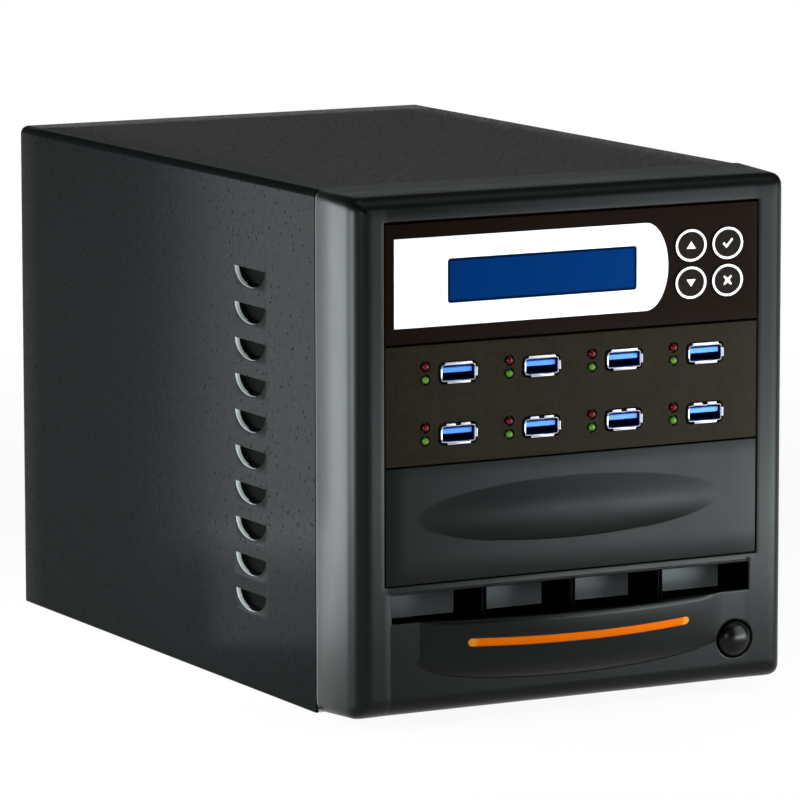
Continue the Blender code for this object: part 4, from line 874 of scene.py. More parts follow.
def bezel_depth(settings):
    """Depth of the front skin: the chin stands out, the lower panel lies a little back and the side strips slope
    forward."""

    def depth(x, h):
        below = ease((SUNK_BELOW - h) / SUNK_STEP)
        fade = np.where(x > 0, 3.0, 0.6) * MM
        sunk = 0.22 * MM * below * ease((PANEL_HALF - abs(x)) / fade)
        slope = -0.5 * MM * np.clip((abs(x) - PANEL_HALF) / (7.3 * MM), 0, 1)
        chin = np.where(h < RECESS_LOW + 0.1 * MM, chin_forward(x, h, settings), 0)
        return sunk + slope - chin

    return depth


def make_bezel(settings, looks):
    """The front: a skin of depth over X and height with wells for the bays, the recess and the button, its border
    rolled back in a quarter round and along the sides; and the recess's three fins."""
    low, high = span("front_bezel")
    flat = high[0] - settings.edge
    foot, head = low[2] + settings.edge, high[2] - TOP_RISE - settings.edge
    soft = 0.4 * MM
    bays, bays_half = (0, 110.1 * MM), (74 * MM + soft, 62.7 * MM + soft)
    pit = (0, (RECESS_LOW + RECESS_HIGH) / 2)
    pit_half = (RECESS_HALF + soft, (RECESS_HIGH - RECESS_LOW) / 2 + soft)
    button = spot_of("power_button")
    button_half, button_hole = (8.8 * MM, 8.3 * MM), (7.5 * MM, 7.2 * MM)
    edge_line = CHIN_LOW + CHIN_CLIMB
    chin_top = RECESS_LOW - soft

    def height(x, h):
        """Rows slide so that the edge line follows the chin's lower edge."""
        edge = chin_edge(x, settings)
        below = foot + (h - foot) * (edge - foot) / (edge_line - foot)
        share = np.clip((chin_top - h) / (chin_top - edge_line), 0, 1)
        above = h - share * (edge_line - edge)
        slide = np.where(h < edge_line, below, above)
        return np.where(h < chin_top, slide, h)

    across = [
        spread(-settings.chin_half, settings.chin_half, 61, True),
        button[0] + spread(-button_half[0], button_half[0], 13),
    ]
    for side in (-1, 1):
        across += [
            side * spread(settings.chin_half, pit_half[0], 8),
            side * (PANEL_HALF - SUNK_STEP * np.arange(3)),
            side * spread(bays_half[0], flat, 5),
        ]
    up = [
        spread(foot, edge_line, 9),
        edge_line + (chin_top - edge_line) * np.linspace(0, 1, 15) ** 2,
        spread(31.5 * MM, chin_top, 6),
        spread(RECESS_LOW, RECESS_HIGH, 3),
        (RECESS_HIGH + soft, SUNK_BELOW - SUNK_STEP, SUNK_BELOW),
        (bays[1] - bays_half[1], bays[1] + bays_half[1], head),
        bays[1] + spread(soft - bays_half[1], bays_half[1] - soft, 9),
        button[1] + spread(-button_half[1], button_half[1], 13),
    ]
    face = Face(across, up, bezel_depth(settings), height)
    rounding = [(inset, depth, 1) for inset, depth in lip(soft)]
    face.well(block_at(bays, bays_half), square(bays, bays_half), [*rounding, (soft, 3 * MM, 0)])
    walls = [*rounding, (soft, 4 * MM, 0), (soft, RECESS_DEEP, 0)]
    # Finish 2 paints the recess's walls near-black as shade, and finish 1 paints its back grey as light falling on it.
    marks = np.array((0, 0, 0, 2, 2, 1))[:, None]  # plastic edge, dark walls, grey back
    face.well(block_at(pit, pit_half), square(pit, pit_half), walls, floor=True, finish=marks)
    cavity = face.points[-1]
    cavity[(cavity[:, 1] > 1 * MM) & (cavity[:, 2] < pit[1]), 2] -= RECESS_DROP
    sleeve = [(0, 0, 1), *rounding, (soft, 9 * MM, 0)]
    face.well(block_at(button, button_half), oval(button, button_hole), sleeve, approach=6)
    out, rear, nick = settings.edge, high[1] - 0.3 * MM, 0.06 * MM
    table = [(reach, back + 0.5 * MM * back / out) for reach, back in lip(out, 6)]
    table += [(out, 12 * MM), (out, rear - 0.2 * MM), (out - nick, rear - nick), (out - 0.2 * MM, rear)]

    def slope(ring):
        """The top rises and the lower edge falls towards the rear."""
        back = np.clip(ring[:, 1] / high[1], 0, 1)
        rise = TOP_RISE * np.clip((ring[:, 2] - 90 * MM) / (91 * MM), 0, 1)
        fall = (low[2] - 0.2 * MM) * np.clip((40 * MM - ring[:, 2]) / (40 * MM - low[2]), 0, 1)
        lifted = ring.copy()
        lifted[:, 2] += (rise - fall) * back
        return lifted

    face.rim(table, steps=12, shape=slope, power=3.4)
    plastics = [looks["plastic"], looks["recess_back"], looks["recess_dark"]]
    face.made("bezel_moulding", "case", plastics, ["front_bezel"], "bezel", wall=settings.wall, closed=False)
    fins = Shell()
    fin_pitch, fin_half = 35.076 * MM, 0.9 * MM
    for x in (-fin_pitch, 0, fin_pitch):
        start = (x - fin_half, 0.1 * MM, RECESS_LOW - RECESS_DROP - 0.3 * MM)
        end = (x + fin_half, RECESS_DEEP + 0.3 * MM, RECESS_HIGH + 0.6 * MM)
        # Every face of each fin but the bevel round its front is painted near-black as shade.
        pad(fins, start, end, 0.2 * MM, finish=np.array([[1], [0], [1], [1], [1]]))
    fins.made("recess_fins", "case", [looks["plastic"], looks["recess_dark"]], slot="bezel")


def bar_shell(settings, grow, proud):
    """A soft rectangle of section, |u|^5 + |v|^5 = 1, carried along the chin and drawn in at its round ends; grow
    widens it all round, and proud is how far it stands out of the chin."""
    half, radius = settings.bar_half + grow, settings.bar_height / 2 + grow
    reach = spread(-1, 1, 97, True)
    x = half * reach
    from_end = half - abs(x)
    share = np.sqrt(np.clip(1 - (1 - np.minimum(from_end / radius, 1)) ** 2, 0.02, 1))
    turn = circle(24)
    side, front = (np.sign(wave) * abs(wave) ** (2 / 5) for wave in (np.cos(turn), np.sin(turn)))
    h = bar_middle(x, settings)[:, None] + radius * share[:, None] * side
    skin = chin_forward(x, bar_middle(x, settings), settings)[:, None]
    tilt = chin_forward(x[:, None] + 0 * h, h, settings) - skin
    proud = proud * (0.3 + 0.7 * share[:, None])
    sunk = 2 * MM
    depth = -skin - tilt * (front > 0) + sunk - (sunk + proud) * front
    shell = Shell()
    shell.tube(np.stack([x[:, None] + 0 * h, depth, h], -1))
    return shell


def make_light_bar(settings, looks):
    """The light bar and the thin black gasket round it."""
    bar = bar_shell(settings, 0, 0.45 * MM)
    bar.made("light_pipe", "case", [looks["bar"]], ["light_bar"], "bar")
    gasket = bar_shell(settings, 0.55 * MM, 0.15 * MM)
    gasket.made("bar_gasket", "case", [looks["gasket"]], slot="rubber")


def make_button(looks):
    """The power button: a shallow dome over a straight skirt with a flange, turned about its axis."""
    low, high = span("power_button")
    radius, flange, stem = 6.8 * MM, 8.5 * MM, 3 * MM
    rise, flange_front, flange_back = 3.8 * MM, 4.6 * MM, 6.1 * MM
    turn = np.radians(spread(0, 82, 12))
    out, back = np.sin(turn), 1 - np.cos(turn)
    dome = [*zip(0.985 * radius * out / out[-1], low[1] + rise * back / back[-1])]
    dome += [(radius, low[1] + rise + 0.25 * MM), (radius, flange_front), (flange, flange_front)]
    dome += [(flange, flange_back), (stem, flange_back), (stem, high[1]), (0, high[1])]
    shell = Shell()
    shell.lathe(spot_of("power_button"), dome, 64, stretch=(1.0, 0.955))
    shell.made("power_cap", "power_button_body", [looks["button"]], ["power_button"], "button")


# Bay plates

PLATE_EDGE = 0.3 * MM
KEY_RADIUS = 6 * MM
KEY_STRETCH = (1.06, 0.96)
KEYS = ("key_up", "key_down", "key_ok", "key_esc")
PORTS = tuple(f"usb_port_{place}" for place in range(1, 9))
LAMPS = tuple(f"led_{shade}_{place}" for place in range(1, 9) for shade in ("red", "green"))


def plate_face(node, across, up, gaps=(0, 0)):
    """The front skin of a bay plate inside its small edge radius, with a wider gap left below and above it."""
    low, high = span(node)
    sides = (low[0] + PLATE_EDGE, high[0] - PLATE_EDGE)
    ends = (low[2] + gaps[0] + PLATE_EDGE, high[2] - gaps[1] - PLATE_EDGE)

    def within(runs, limits):
        """Both limits, and the positions of each run that lie between them."""
        return [limits, *(run[(run > limits[0]) & (run < limits[1])] for run in runs)]

    return Face(within(across, sides), within(up, ends))


def plate_hole(face, spot, half, outline, plate, bevel, finish=0):
    """A hole through a plate, in a block of its cells, with a small bevel round it."""
    table = [(0, 0, 0), (bevel, bevel, 0), (0.1 * MM, plate, 0)]
    face.well(block_at(spot, half), outline, table, finish=finish)


def finish_plate(face, name, node, looks, slot, settings):
    """Rolls the plate's border back and adds the two arms that run back along the rails, and a strip behind its
    lower and upper edges that keeps light out of the gaps."""
    low, high = span(node)
    back, wall, soft = settings.plate, 1.1 * MM, 0.2 * MM
    face.rim([*lip(PLATE_EDGE), (PLATE_EDGE, back - 1.2 * MM), (PLATE_EDGE, back)], steps=3)
    face.made(name, "case", looks, [node], slot, wall=wall, closed=False)
    arms = Shell()
    arm_inset, arm_half, arm_short = 0.8 * MM, 0.7 * MM, 4 * MM
    for side in (-1, 1):
        x = side * (high[0] - arm_inset)
        start = (x - arm_half, back - 0.5 * MM, low[2] + arm_short)
        pad(arms, start, (x + arm_half, high[1], high[2] - arm_short), soft)
    strip, strip_short = max(back, 3 * MM) + 0.15 * MM, 1.6 * MM
    for h in (low[2], high[2]):
        start = (low[0] + strip_short, strip, h - 1 * MM)
        pad(arms, start, (high[0] - strip_short, strip + 0.8 * MM, h + 1 * MM), soft)
    arms.made(name + "_arms", "case", looks[:1], slot=slot)


def make_display_plate(settings, looks):
    """The display bay's plate, with a square hole for the window and four round key wells."""
    node = "lcd_faceplate"
    low, high = span("lcd_window")
    window = spot_of("lcd_window")
    block = ((high - low) / 2)[[0, 2]] + 0.5 * MM
    across = [window[0] + spread(-block[0], block[0], 25)]
    up = [window[1] + spread(-block[1], block[1], 9)]
    cell = (7.0 * MM, 6.4 * MM)
    hole = [KEY_RADIUS * share + 0.35 * MM for share in KEY_STRETCH]
    spots = spots_of(KEYS).values()
    for x, h in spots:
        across.append(rays(x, cell[0], 11))
        up.append(rays(h, cell[1], 11))
    face = plate_face(node, across, up, gaps=(0.25 * MM, 0.45 * MM))
    table = [(0.2 * MM, 0.1 * MM, 0), (0.2 * MM, settings.plate, 0)]
    face.well(block_at(window, block), square(window, block), table)
    for spot in spots:
        plate_hole(face, spot, cell, oval(spot, hole), settings.plate, 0.08 * MM)
    finish_plate(face, "display_plate", node, [looks["display_plate"]], "face", settings)


def make_label(looks):
    """The label film: rings between the window hole and the outline, whose right end is one wide arc."""
    low, high = span("label_overlay")
    gap, soft = 0.12 * MM, 1.1 * MM
    hole_low, hole_high = (corner[[0, 2]] + grow for corner, grow in zip(span("lcd_window"), (-gap, gap)))
    centre, half = (low[2] + high[2]) / 2, (high[2] - low[2]) / 2
    bow = 9 * MM
    steps = 36

    def nose(h):
        """X of the right end: half an ellipse as high as the label and as long as the bow."""
        return high[0] - bow + bow * np.sqrt(np.clip(1 - ((h - centre) / half) ** 2, 0, 1))

    def loop(left, bottom, top, right):
        """The same count of points on each side of a frame, anticlockwise from the low left; right gives X at each
        height."""
        share = spread(0, 1, steps + 1, True)[:-1]
        rise = bottom + (top - bottom) * share
        fall = top - (top - bottom) * share
        lower = np.stack([left + (right(bottom) - left) * share, 0 * share + bottom], -1)
        far = np.stack([right(rise), rise], -1)
        upper = np.stack([right(top) + (left - right(top)) * share, 0 * share + top], -1)
        near = np.stack([0 * share + left, fall], -1)
        return np.concatenate([lower, far, upper, near])

    edge = 0.08 * MM
    outer = loop(low[0], low[2], high[2], nose)
    shoulder = loop(low[0] + edge, low[2] + edge, high[2] - edge, lambda h: nose(h) - edge)
    inner = loop(hole_low[0], hole_low[1], hole_high[1], lambda h: 0 * h + hole_high[0])
    inner = drawn_in(inner, hole_low, hole_high, soft)
    front, back = -0.12 * MM, 0.05 * MM
    rows = ((outer, back), (outer, front + edge), (shoulder, front), (inner, front), (inner, back), (outer, back))
    shell = Shell()
    shell.grid(np.array([upright(*points.T, depth) for points, depth in rows]), around=True)
    shell.made("label_film", "case", [looks["label"]], ["label_overlay"], "label")


def make_window(looks):
    """The display window: a rounded slab whose face lies just under the label."""
    low, high = span("lcd_window")
    radius = 1.0 * MM
    table = ((0.15 * MM, low[1] - 0.2 * MM), (0, low[1] - 0.08 * MM), (0, high[1]))
    rings = [rounded_ring(low, high, inset, radius - inset, depth, 6) for inset, depth in table]
    shell = Shell()
    shell.tube(rings, turned=True)
    shell.made("display_window", "case", [looks["display"]], ["lcd_window"], "display")


def glyph(shell, spot, outline, front, thick, finish):
    """A raised sign: a flat outline that its first point can see all of, drawn to that point front and back."""
    points = np.asarray(outline, float) * MM
    centre, ring = points[0], points[1:]
    rows = []
    for share, depth in ((0, front), (1, front), (1, front + thick), (0, front + thick)):
        rows.append(upright(*(spot + centre + (ring - centre) * share).T, depth))
    shell.grid(np.array(rows), around=True, finish=finish, turned=True)


TRIANGLE = ((0, 0), (-1.85, -1.15), (1.85, -1.15), (0, 1.4))
TICK = ((-0.55, -1.0), (-0.55, -1.75), (2.15, 1.15), (1.6, 1.7), (-0.55, -0.6), (-1.55, 0.4), (-2.1, -0.15))
CROSS_HALF, CROSS_ARM = 0.39, 1.3
# One arm of the cross, which three quarter turns repeat.
ARM = ((0, -2 * CROSS_HALF), (CROSS_ARM, -CROSS_ARM - CROSS_HALF), (CROSS_ARM + CROSS_HALF, -CROSS_ARM))
QUARTER = ((0, 1), (-1, 0))
CROSS = ((0, 0), *(point for number in range(4) for point in ARM @ np.linalg.matrix_power(QUARTER, number)))
SIGNS = {
    "key_up": TRIANGLE,
    "key_down": tuple((x, -h) for x, h in TRIANGLE),
    "key_ok": TICK,
    "key_esc": CROSS,
}


def make_keys(settings, looks):
    """Each key is a flat cap with a printed ring and a raised sign, on a flange and a stem behind the plate."""
    radius, flange, stem = KEY_RADIUS, KEY_RADIUS + 0.5 * MM, 1.6 * MM
    flange_front, flange_back = 3.3 * MM, 4.4 * MM
    ring = radius - 0.12 * MM
    inner = ring - settings.key_ring
    for node, spot in spots_of(KEYS).items():
        low, high = span(node)
        front = low[1]
        profile = [(0, front), (inner * 0.5, front), (inner, front), (ring, front)]
        profile += [(radius - 0.04 * MM, front + 0.04 * MM), (radius, front + 0.12 * MM)]
        profile += [(radius, flange_front), (flange, flange_front), (flange, flange_back)]
        profile += [(stem, flange_back), (stem, high[1]), (0, high[1])]
        marks = np.zeros((len(profile) - 1, 1), int)
        marks[2] = 1
        shell = Shell()
        shell.lathe(spot, profile, 48, finish=marks, stretch=KEY_STRETCH)
        glyph(shell, spot, SIGNS[node], front - 0.05 * MM, 0.15 * MM, 1)
        shell.made(node + "_cap", node + "_body", [looks["key"], looks["print"]], [node], "key")


def make_port_plate(settings, looks):
    """The port bay's plate, with a rounded well round each port and a round one for each lamp."""
    node = "usb_faceplate"
    across, up = [], []
    port_cell, port_hole = (8.9 * MM, 5.0 * MM), (7.65 * MM, 4.0 * MM)
    lamp_cell, lamp_bore = (2.25 * MM, 2.25 * MM), (2.0 * MM, 2.0 * MM)
    ports, lamps = spots_of(PORTS).values(), spots_of(LAMPS).values()
    for spots, cell, counts in ((ports, port_cell, (13, 9)), (lamps, lamp_cell, (5, 5))):
        for x, h in spots:
            across.append(rays(x, cell[0], counts[0]))
            up.append(rays(h, cell[1], counts[1]))
    face = plate_face(node, across, up, gaps=(0.2 * MM, 0.2 * MM))
    for spot in ports:
        plate_hole(face, spot, port_cell, oval(spot, port_hole, 6), settings.plate, 0.1 * MM)
    # The bore round each lamp is painted darker than the plate as shade.
    cut = np.array([[0], [0], [1]])
    for spot in lamps:
        plate_hole(face, spot, lamp_cell, oval(spot, lamp_bore), settings.plate, 0.08 * MM, finish=cut)
    finish_plate(face, "port_plate", node, [looks["port_plate"], looks["cut_edge"]], "face", settings)


def port_loop(half, corner, runs):
    """A rounded rectangle as points, and for each the way out of the side that it lies on, where a flap is raised
    there, or nothing."""
    points, flaps = [], []
    for quarter, run in enumerate(runs):
        turn = np.pi / 2 * quarter
        out, along = np.array((np.cos(turn), np.sin(turn))), np.array((-np.sin(turn), np.cos(turn)))
        depth, reach = half[quarter % 2], half[1 - quarter % 2] - corner
        share, raised = np.array(run).T
        points.append(out * depth + along * (share * reach)[:, None])
        flaps.append(np.stack([raised * out[0], raised * out[1]], -1))
        arc = turn + np.pi / 2 * np.array((0.25, 0.5, 0.75))
        pivot = out * (depth - corner) + along * reach
        points.append(pivot + corner * np.stack([np.cos(arc), np.sin(arc)], -1))
        flaps.append(np.zeros((3, 2)))
    return np.concatenate(points), np.concatenate(flaps)


def flap_run(*edges):
    """Shares along a side with a flap between each pair of edges: raised inside, flat outside."""
    run, slope = [(-1, 0)], 0.02
    for low, high in zip(edges[::2], edges[1::2]):
        run += [(low - slope, 0), (low + slope, 1), ((low + high) / 2, 1), (high - slope, 1), (high + slope, 0)]
    return run + [(1, 0)]


def make_ports(looks):
    """Each port is a plated tube whose front edge rolls out in flaps, a blue tongue and its contacts. A flap's edge
    runs out along a quarter round, from the base line back to the flap's own depth."""
    body, wall, corner, flare = np.array((6.55, 2.85)) * MM, 0.3 * MM, 0.7 * MM, 0.85 * MM
    turn = np.radians((0, 30, 60, 84))
    curl = [*zip(flare * (1 - np.cos(turn)) / (1 - np.cos(turn[-1])), flare * np.sin(turn))]
    mouth, lean, gap = 0.4 * MM, 0.65, 0.25 * MM
    tongue_half, contact_half = (5.95 * MM, 0.92 * MM), 0.5 * MM
    for node, (x, h) in spots_of(PORTS).items():
        low, high = span(node)
        top = flap_run(-0.9, 0.9) if node in PORTS[:4] else flap_run(-0.78, -0.16, 0.2, 0.8)
        left = [(share, 0.4 * raised) for share, raised in flap_run(-0.72, 0.72)]
        runs = [flap_run(-0.72, 0.72), top, left, flap_run(-0.74, 0.8)]
        loop, flaps = port_loop(body, corner, runs)
        inner, _ = port_loop(body - wall, corner - wall, runs)
        raised = np.hypot(*flaps.T)
        base = low[1] + 0.35 * MM
        back = base + 0.55 * MM
        rows = [(loop, 0, high[1], high[1]), (loop, 0, mouth, mouth)]
        rows += [(loop, out, base, back - lean * fall) for out, fall in curl]
        rows += [((loop + inner) / 2, flare + 0.1 * MM, base - 0.1 * MM, back - lean * flare - 0.12 * MM)]
        rows += [(inner, out, base, back - lean * fall - gap) for out, fall in curl[::-1]]
        rows += [(inner, 0, depth, depth) for depth in (1.2 * MM, 9.5 * MM)]
        rings = []
        for points, out, flat_depth, flap_depth in rows:
            across, up = (points + flaps * out).T
            rings.append(np.stack([x + across, flat_depth + (flap_depth - flat_depth) * raised, h + up], -1))
        shell = Shell()
        marks = np.zeros((len(rings) + 1, 1), int)
        # The tube's inside is painted dark navy as shade instead of showing its plating.
        marks[-3:] = 1
        shell.tube(rings, finish=marks)
        tongue = Shell()
        middle_h = h + 0.9 * MM
        start = (x - tongue_half[0], 0.5 * MM, middle_h - tongue_half[1])
        pad(tongue, start, (x + tongue_half[0], 9.8 * MM, middle_h + tongue_half[1]), 0.25 * MM)
        for contact in np.array((-3.5, -1.0, 1.0, 3.5)) * MM + x:
            start = (contact - contact_half, 2.4 * MM, middle_h - 1.0 * MM)
            pad(tongue, start, (contact + contact_half, 8.5 * MM, middle_h - 0.8 * MM), 0.06 * MM, finish=1)
        name = node.replace("usb_", "")
        shell.made(name + "_shell", "case", [looks["plated"], looks["inside"]], [node], "port")
        tongue.made(name + "_tongue", "case", [looks["tongue"], looks["gold"]], slot="port")


def make_lamps(looks):
    """Each lamp is a small dome over a straight body, turned about its axis."""
    radius, lens, pin = 1.8 * MM, 1.42 * MM, 0.6 * MM
    collar, body_back = 0.9 * MM, 3.9 * MM
    turn = np.radians((0, 20, 40, 58, 74, 90))
    for node, spot in spots_of(LAMPS).items():
        low, high = span(node)
        dome = [*zip(lens * np.sin(turn), low[1] + lens * 0.95 * (1 - np.cos(turn)))]
        dome += [(lens, collar), (radius - 0.1 * MM, collar), (radius, collar + 0.1 * MM)]
        dome += [(radius, body_back), (pin, body_back), (pin, high[1]), (0, high[1])]
        marks = np.zeros((len(dome) - 1, 1), int)
        # The flat collar round each lens is painted near-black as shade.
        marks[len(turn) : len(turn) + 2] = 1
        shell = Shell()
        shell.lathe(spot, dome, 24, finish=marks)
        shade = "red" if "red" in node else "green"
        name = node.replace("led", "lamp")
        shell.made(name, "case", [looks[shade], looks["collar"]], [node], shade + "_lamp")


def make_blank_plate(settings, looks):
    """The blank bay's plate; its long swell is an oval whose height is a power of 1 - q^2 at each ring q."""
    node = "blank_bay_cover"
    low, _ = span(node)
    centre, half, block = (-1.1 * MM, 70.0 * MM), (60.4 * MM, 10.9 * MM), (64 * MM, 13.5 * MM)
    face = plate_face(
        node,
        [centre[0] + block[0] * np.sin(np.pi / 2 * np.linspace(-1, 1, 61))],
        [centre[1] + block[1] * np.linspace(-1, 1, 25)],
    )
    rise = 0.6 * abs(low[1])  # flatter than the solid's swell

    def swell(x, h):
        """Minus the rise times (1 - q^2) to a power that is lower in the middle of the lower side."""
        across, up = (x - centre[0]) / half[0], (h - centre[1]) / half[1]
        low_side = ease(0.5 - 0.5 * np.clip(up, -1, 1)) * (1 - np.minimum(across**2, 1))
        return -rise * (1 - np.minimum(across**2 + up**2, 1)) ** (1.25 - 0.6 * low_side)

    def ring(x, h, inset):
        """The oval drawn in to the same share of both its halves."""
        share = 1 - inset / half[1]
        x, h = oval(centre, half)(x, h, 0)
        return centre[0] + (x - centre[0]) * share, centre[1] + (h - centre[1]) * share

    face.depth = swell
    shares = np.cos(np.pi / 2 * np.linspace(0, 1, 15))[:-1]
    table = [(-0.35 * MM, 0, 1), *(((1 - share) * half[1], 0, 1) for share in shares)]
    face.well(block_at(centre, block), ring, table, floor=True)
    finish_plate(face, "blank_plate", node, [looks["plastic_flat"]], "bezel", settings)


# Rear

FAN_BORE = 38 * MM
HUB, HUB_EDGE = 15 * MM, 0.4 * MM
ROCKER_SWING = math.hypot(9, 3.6) * MM
SCREWS = ("screw_left_low", "screw_left_high", "screw_right_low", "screw_right_high")


def make_rear_panel(looks):
    """The plate between the cover's flanges, cut through in a circle for the fan and a rectangle for the inlet."""
    low, high = span("rear_panel")
    fan, inlet = spot_of("fan_frame"), spot_of("mains_inlet")
    fan_cell, inlet_cell = (42 * MM, 42 * MM), (14.6 * MM, 24.6 * MM)
    corner, bevel, inset = 2.2 * MM, 0.1 * MM, 0.8 * MM
    lines = [
        [
            (low[axis] + corner, high[axis] - corner),
            rays(fan[number], fan_cell[number], 25),
            (inlet[number] - inlet_cell[number], inlet[number] + inlet_cell[number]),
        ]
        for number, axis in enumerate((0, 2))
    ]
    face = Face(*lines)
    face.rear_plane = high[1]
    face.well(block_at(fan, fan_cell), oval(fan, (FAN_BORE, FAN_BORE)), [(0, 0, 0), (bevel, bevel, 0)])
    table = [(inset, 0, 0), (inset + bevel, bevel, 0)]
    face.well(block_at(inlet, inlet_cell), square(inlet, inlet_cell), table)
    face.rim([(corner, 0)], steps=6)
    face.made("rear_plate", "case", [looks["zinc"]], ["rear_panel"], "steel", wall=0.8 * MM, closed=False)


def make_fan(looks):
    """The fan's housing: a rounded square carried back round a bore, with a motor plate on two crossed struts."""
    low, high = span("fan_frame")
    x, h = spot_of("fan_frame")
    front, rear, half = low[1], high[1], (high[0] - low[0]) / 2
    flare = 0.6 * MM
    turn = circle(96)
    ray = np.stack([np.cos(turn), np.sin(turn)])
    outer = drawn_in((half * ray / abs(ray).max(0)).T, -half, half, 4 * MM).T
    bore, mouth = FAN_BORE * ray, (FAN_BORE + flare) * ray
    path = [(outer, front), (outer, rear), (mouth, rear), (bore, rear - flare)]
    path += [(bore, front + flare), (mouth, front), (outer, front)]
    housing = Shell()
    housing.grid(np.array([upright(x + loop[0], h + loop[1], depth) for loop, depth in path]), around=True)
    reach, strut = FAN_BORE + 0.8 * MM, 1.5 * MM
    for wide, tall in ((reach, strut), (strut, reach)):
        pad(housing, (x - wide, front + 0.15 * MM, h - tall), (x + wide, front + 2.3 * MM, h + tall), HUB_EDGE)
    housing.lathe((x, h), disc(HUB, front, front + 2.6 * MM, HUB_EDGE), 64)
    housing.made("fan_housing", "case", [looks["housing"]], ["fan_frame"], "housing")


def make_rotor(looks):
    """The fan's hub, turned about its axis, and its blades. Each blade is an arched oval section carried out from the
    hub while its chord grows and its pitch eases."""
    low, high = span("fan_rotor")
    x, h = spot_of("fan_frame")
    front, rear = low[1], high[1]
    edge, dish = 1.5 * MM, 0.25 * MM
    profile = [(0, front), (HUB - HUB_EDGE, front), (HUB, front + HUB_EDGE), (HUB, rear - edge)]
    profile += [(HUB - 0.44 * MM, rear - 0.44 * MM), (HUB - edge, rear), (10.5 * MM, rear)]
    profile += [(10.3 * MM, rear - dish), (0, rear - dish)]
    rotor = Shell()
    rotor.lathe((x, h), profile, 72)
    share = np.linspace(0, 1, 11)[:, None]
    around = circle(20)
    along, across = np.cos(around), np.sin(around)
    root, tip = HUB - 1.2 * MM, 37 * MM
    radius = root + (tip - root) * share
    chord = (12 + 10 * share) * MM
    pitch = np.radians(48 - 24 * share)
    run = along * chord / 2
    rise = 0.7 * MM * across * (1 - 0.35 * along) + 0.05 * chord * (0.5 - along**2)
    sideways = run * np.cos(pitch) - rise * np.sin(pitch)
    depth = (front + rear) / 2 + run * np.sin(pitch) + rise * np.cos(pitch)
    for start in circle(7):
        angle = start + np.radians(12) * share + sideways / radius
        rotor.tube(np.stack([x + radius * np.cos(angle), depth, h + radius * np.sin(angle)], -1))
    rotor.made("fan_blades", "fan_rotor_body", [looks["rotor"]], ["fan_rotor"], "housing")


def cross_screw(shell, spot, base, radius, height, shank, reach, finish=0):
    """A pan head with a cross recess on a plain shank, all rings on the same turns; the recess, whose arms are L long
    and 2a wide, lies min(L / max(|cos|, |sin|), a / min(|cos|, |sin|)) from the axis."""
    arm, half = 0.56 * radius, 0.13 * radius
    corner = math.degrees(math.atan2(half, arm))
    quarter = np.array((-corner, -corner / 3, corner / 3, corner, 22, 33, 45, 57, 68))
    turn = np.radians(np.concatenate([quarter + 90 * number for number in range(4)]))
    cos, sin = np.cos(turn), np.sin(turn)
    most, least = np.maximum(abs(cos), abs(sin)), np.minimum(abs(cos), abs(sin))
    cross = np.minimum(arm / most, half / np.maximum(least, 0.01))
    head = ((1, 0), (1, 0.35), (0.95, 0.66), (0.84, 0.86), (0.7, 0.96), (0.62, 1.0))
    rows = [(shank, base - reach), (shank, base), *((radius * out, base + height * up) for out, up in head)]
    rows += [(cross, base + height), (cross * 0.85, base + 0.3 * height)]
    rings = [upright(spot[0] + out * cos, spot[1] + out * sin, depth) for out, depth in rows]
    shell.tube(rings, finish=finish)


def make_guard(looks):
    """Three hoops and two crossed bars of round wire, each bar flattened into an eye under a screw at its ends."""
    low, high = span("fan_guard")
    x, h = spot_of("fan_guard")
    depth, wire = (low[1] + high[1]) / 2, (high[1] - low[1]) / 2
    hoop, hole, eye, bar = 36.6 * MM, 35.75 * MM, 3.5 * MM, 1.2 * MM
    turn = circle(16)
    seam = np.append(turn, 2 * np.pi)
    shell = Shell()
    for share in (1, 2, 3):
        section = [hoop * share / 3 + wire * np.cos(seam), depth + wire * np.sin(seam)]
        shell.lathe((x, h), np.stack(section, -1), 96)
    for side in (-1, 1):
        along, aside = np.array((1, side)), np.array((-side, 1)) / math.sqrt(2)
        rings = []
        for reach in (-1, 1):
            spot = np.array((x, h)) + along * hole * reach
            flat = spot + aside * (bar * np.cos(turn))[:, None]
            rings.append(np.stack([flat[:, 0], depth + 0.8 * wire * np.sin(turn), flat[:, 1]], -1))
            shell.lathe(spot, disc(eye, low[1], high[1], 0.25 * MM), 40)
            cross_screw(shell, spot, high[1] - 0.05 * MM, 2.9 * MM, 1.3 * MM, 1.4 * MM, 1 * MM, finish=1)
        shell.tube(rings)
    shell.made("guard_wires", "case", [looks["wire"], looks["steel"]], ["fan_guard"], "plated")


def rocker_height():
    """Height of the axis on which the mains rocker tilts."""
    return span("mains_inlet")[1][2] - 3.6 * MM - ROCKER_SWING


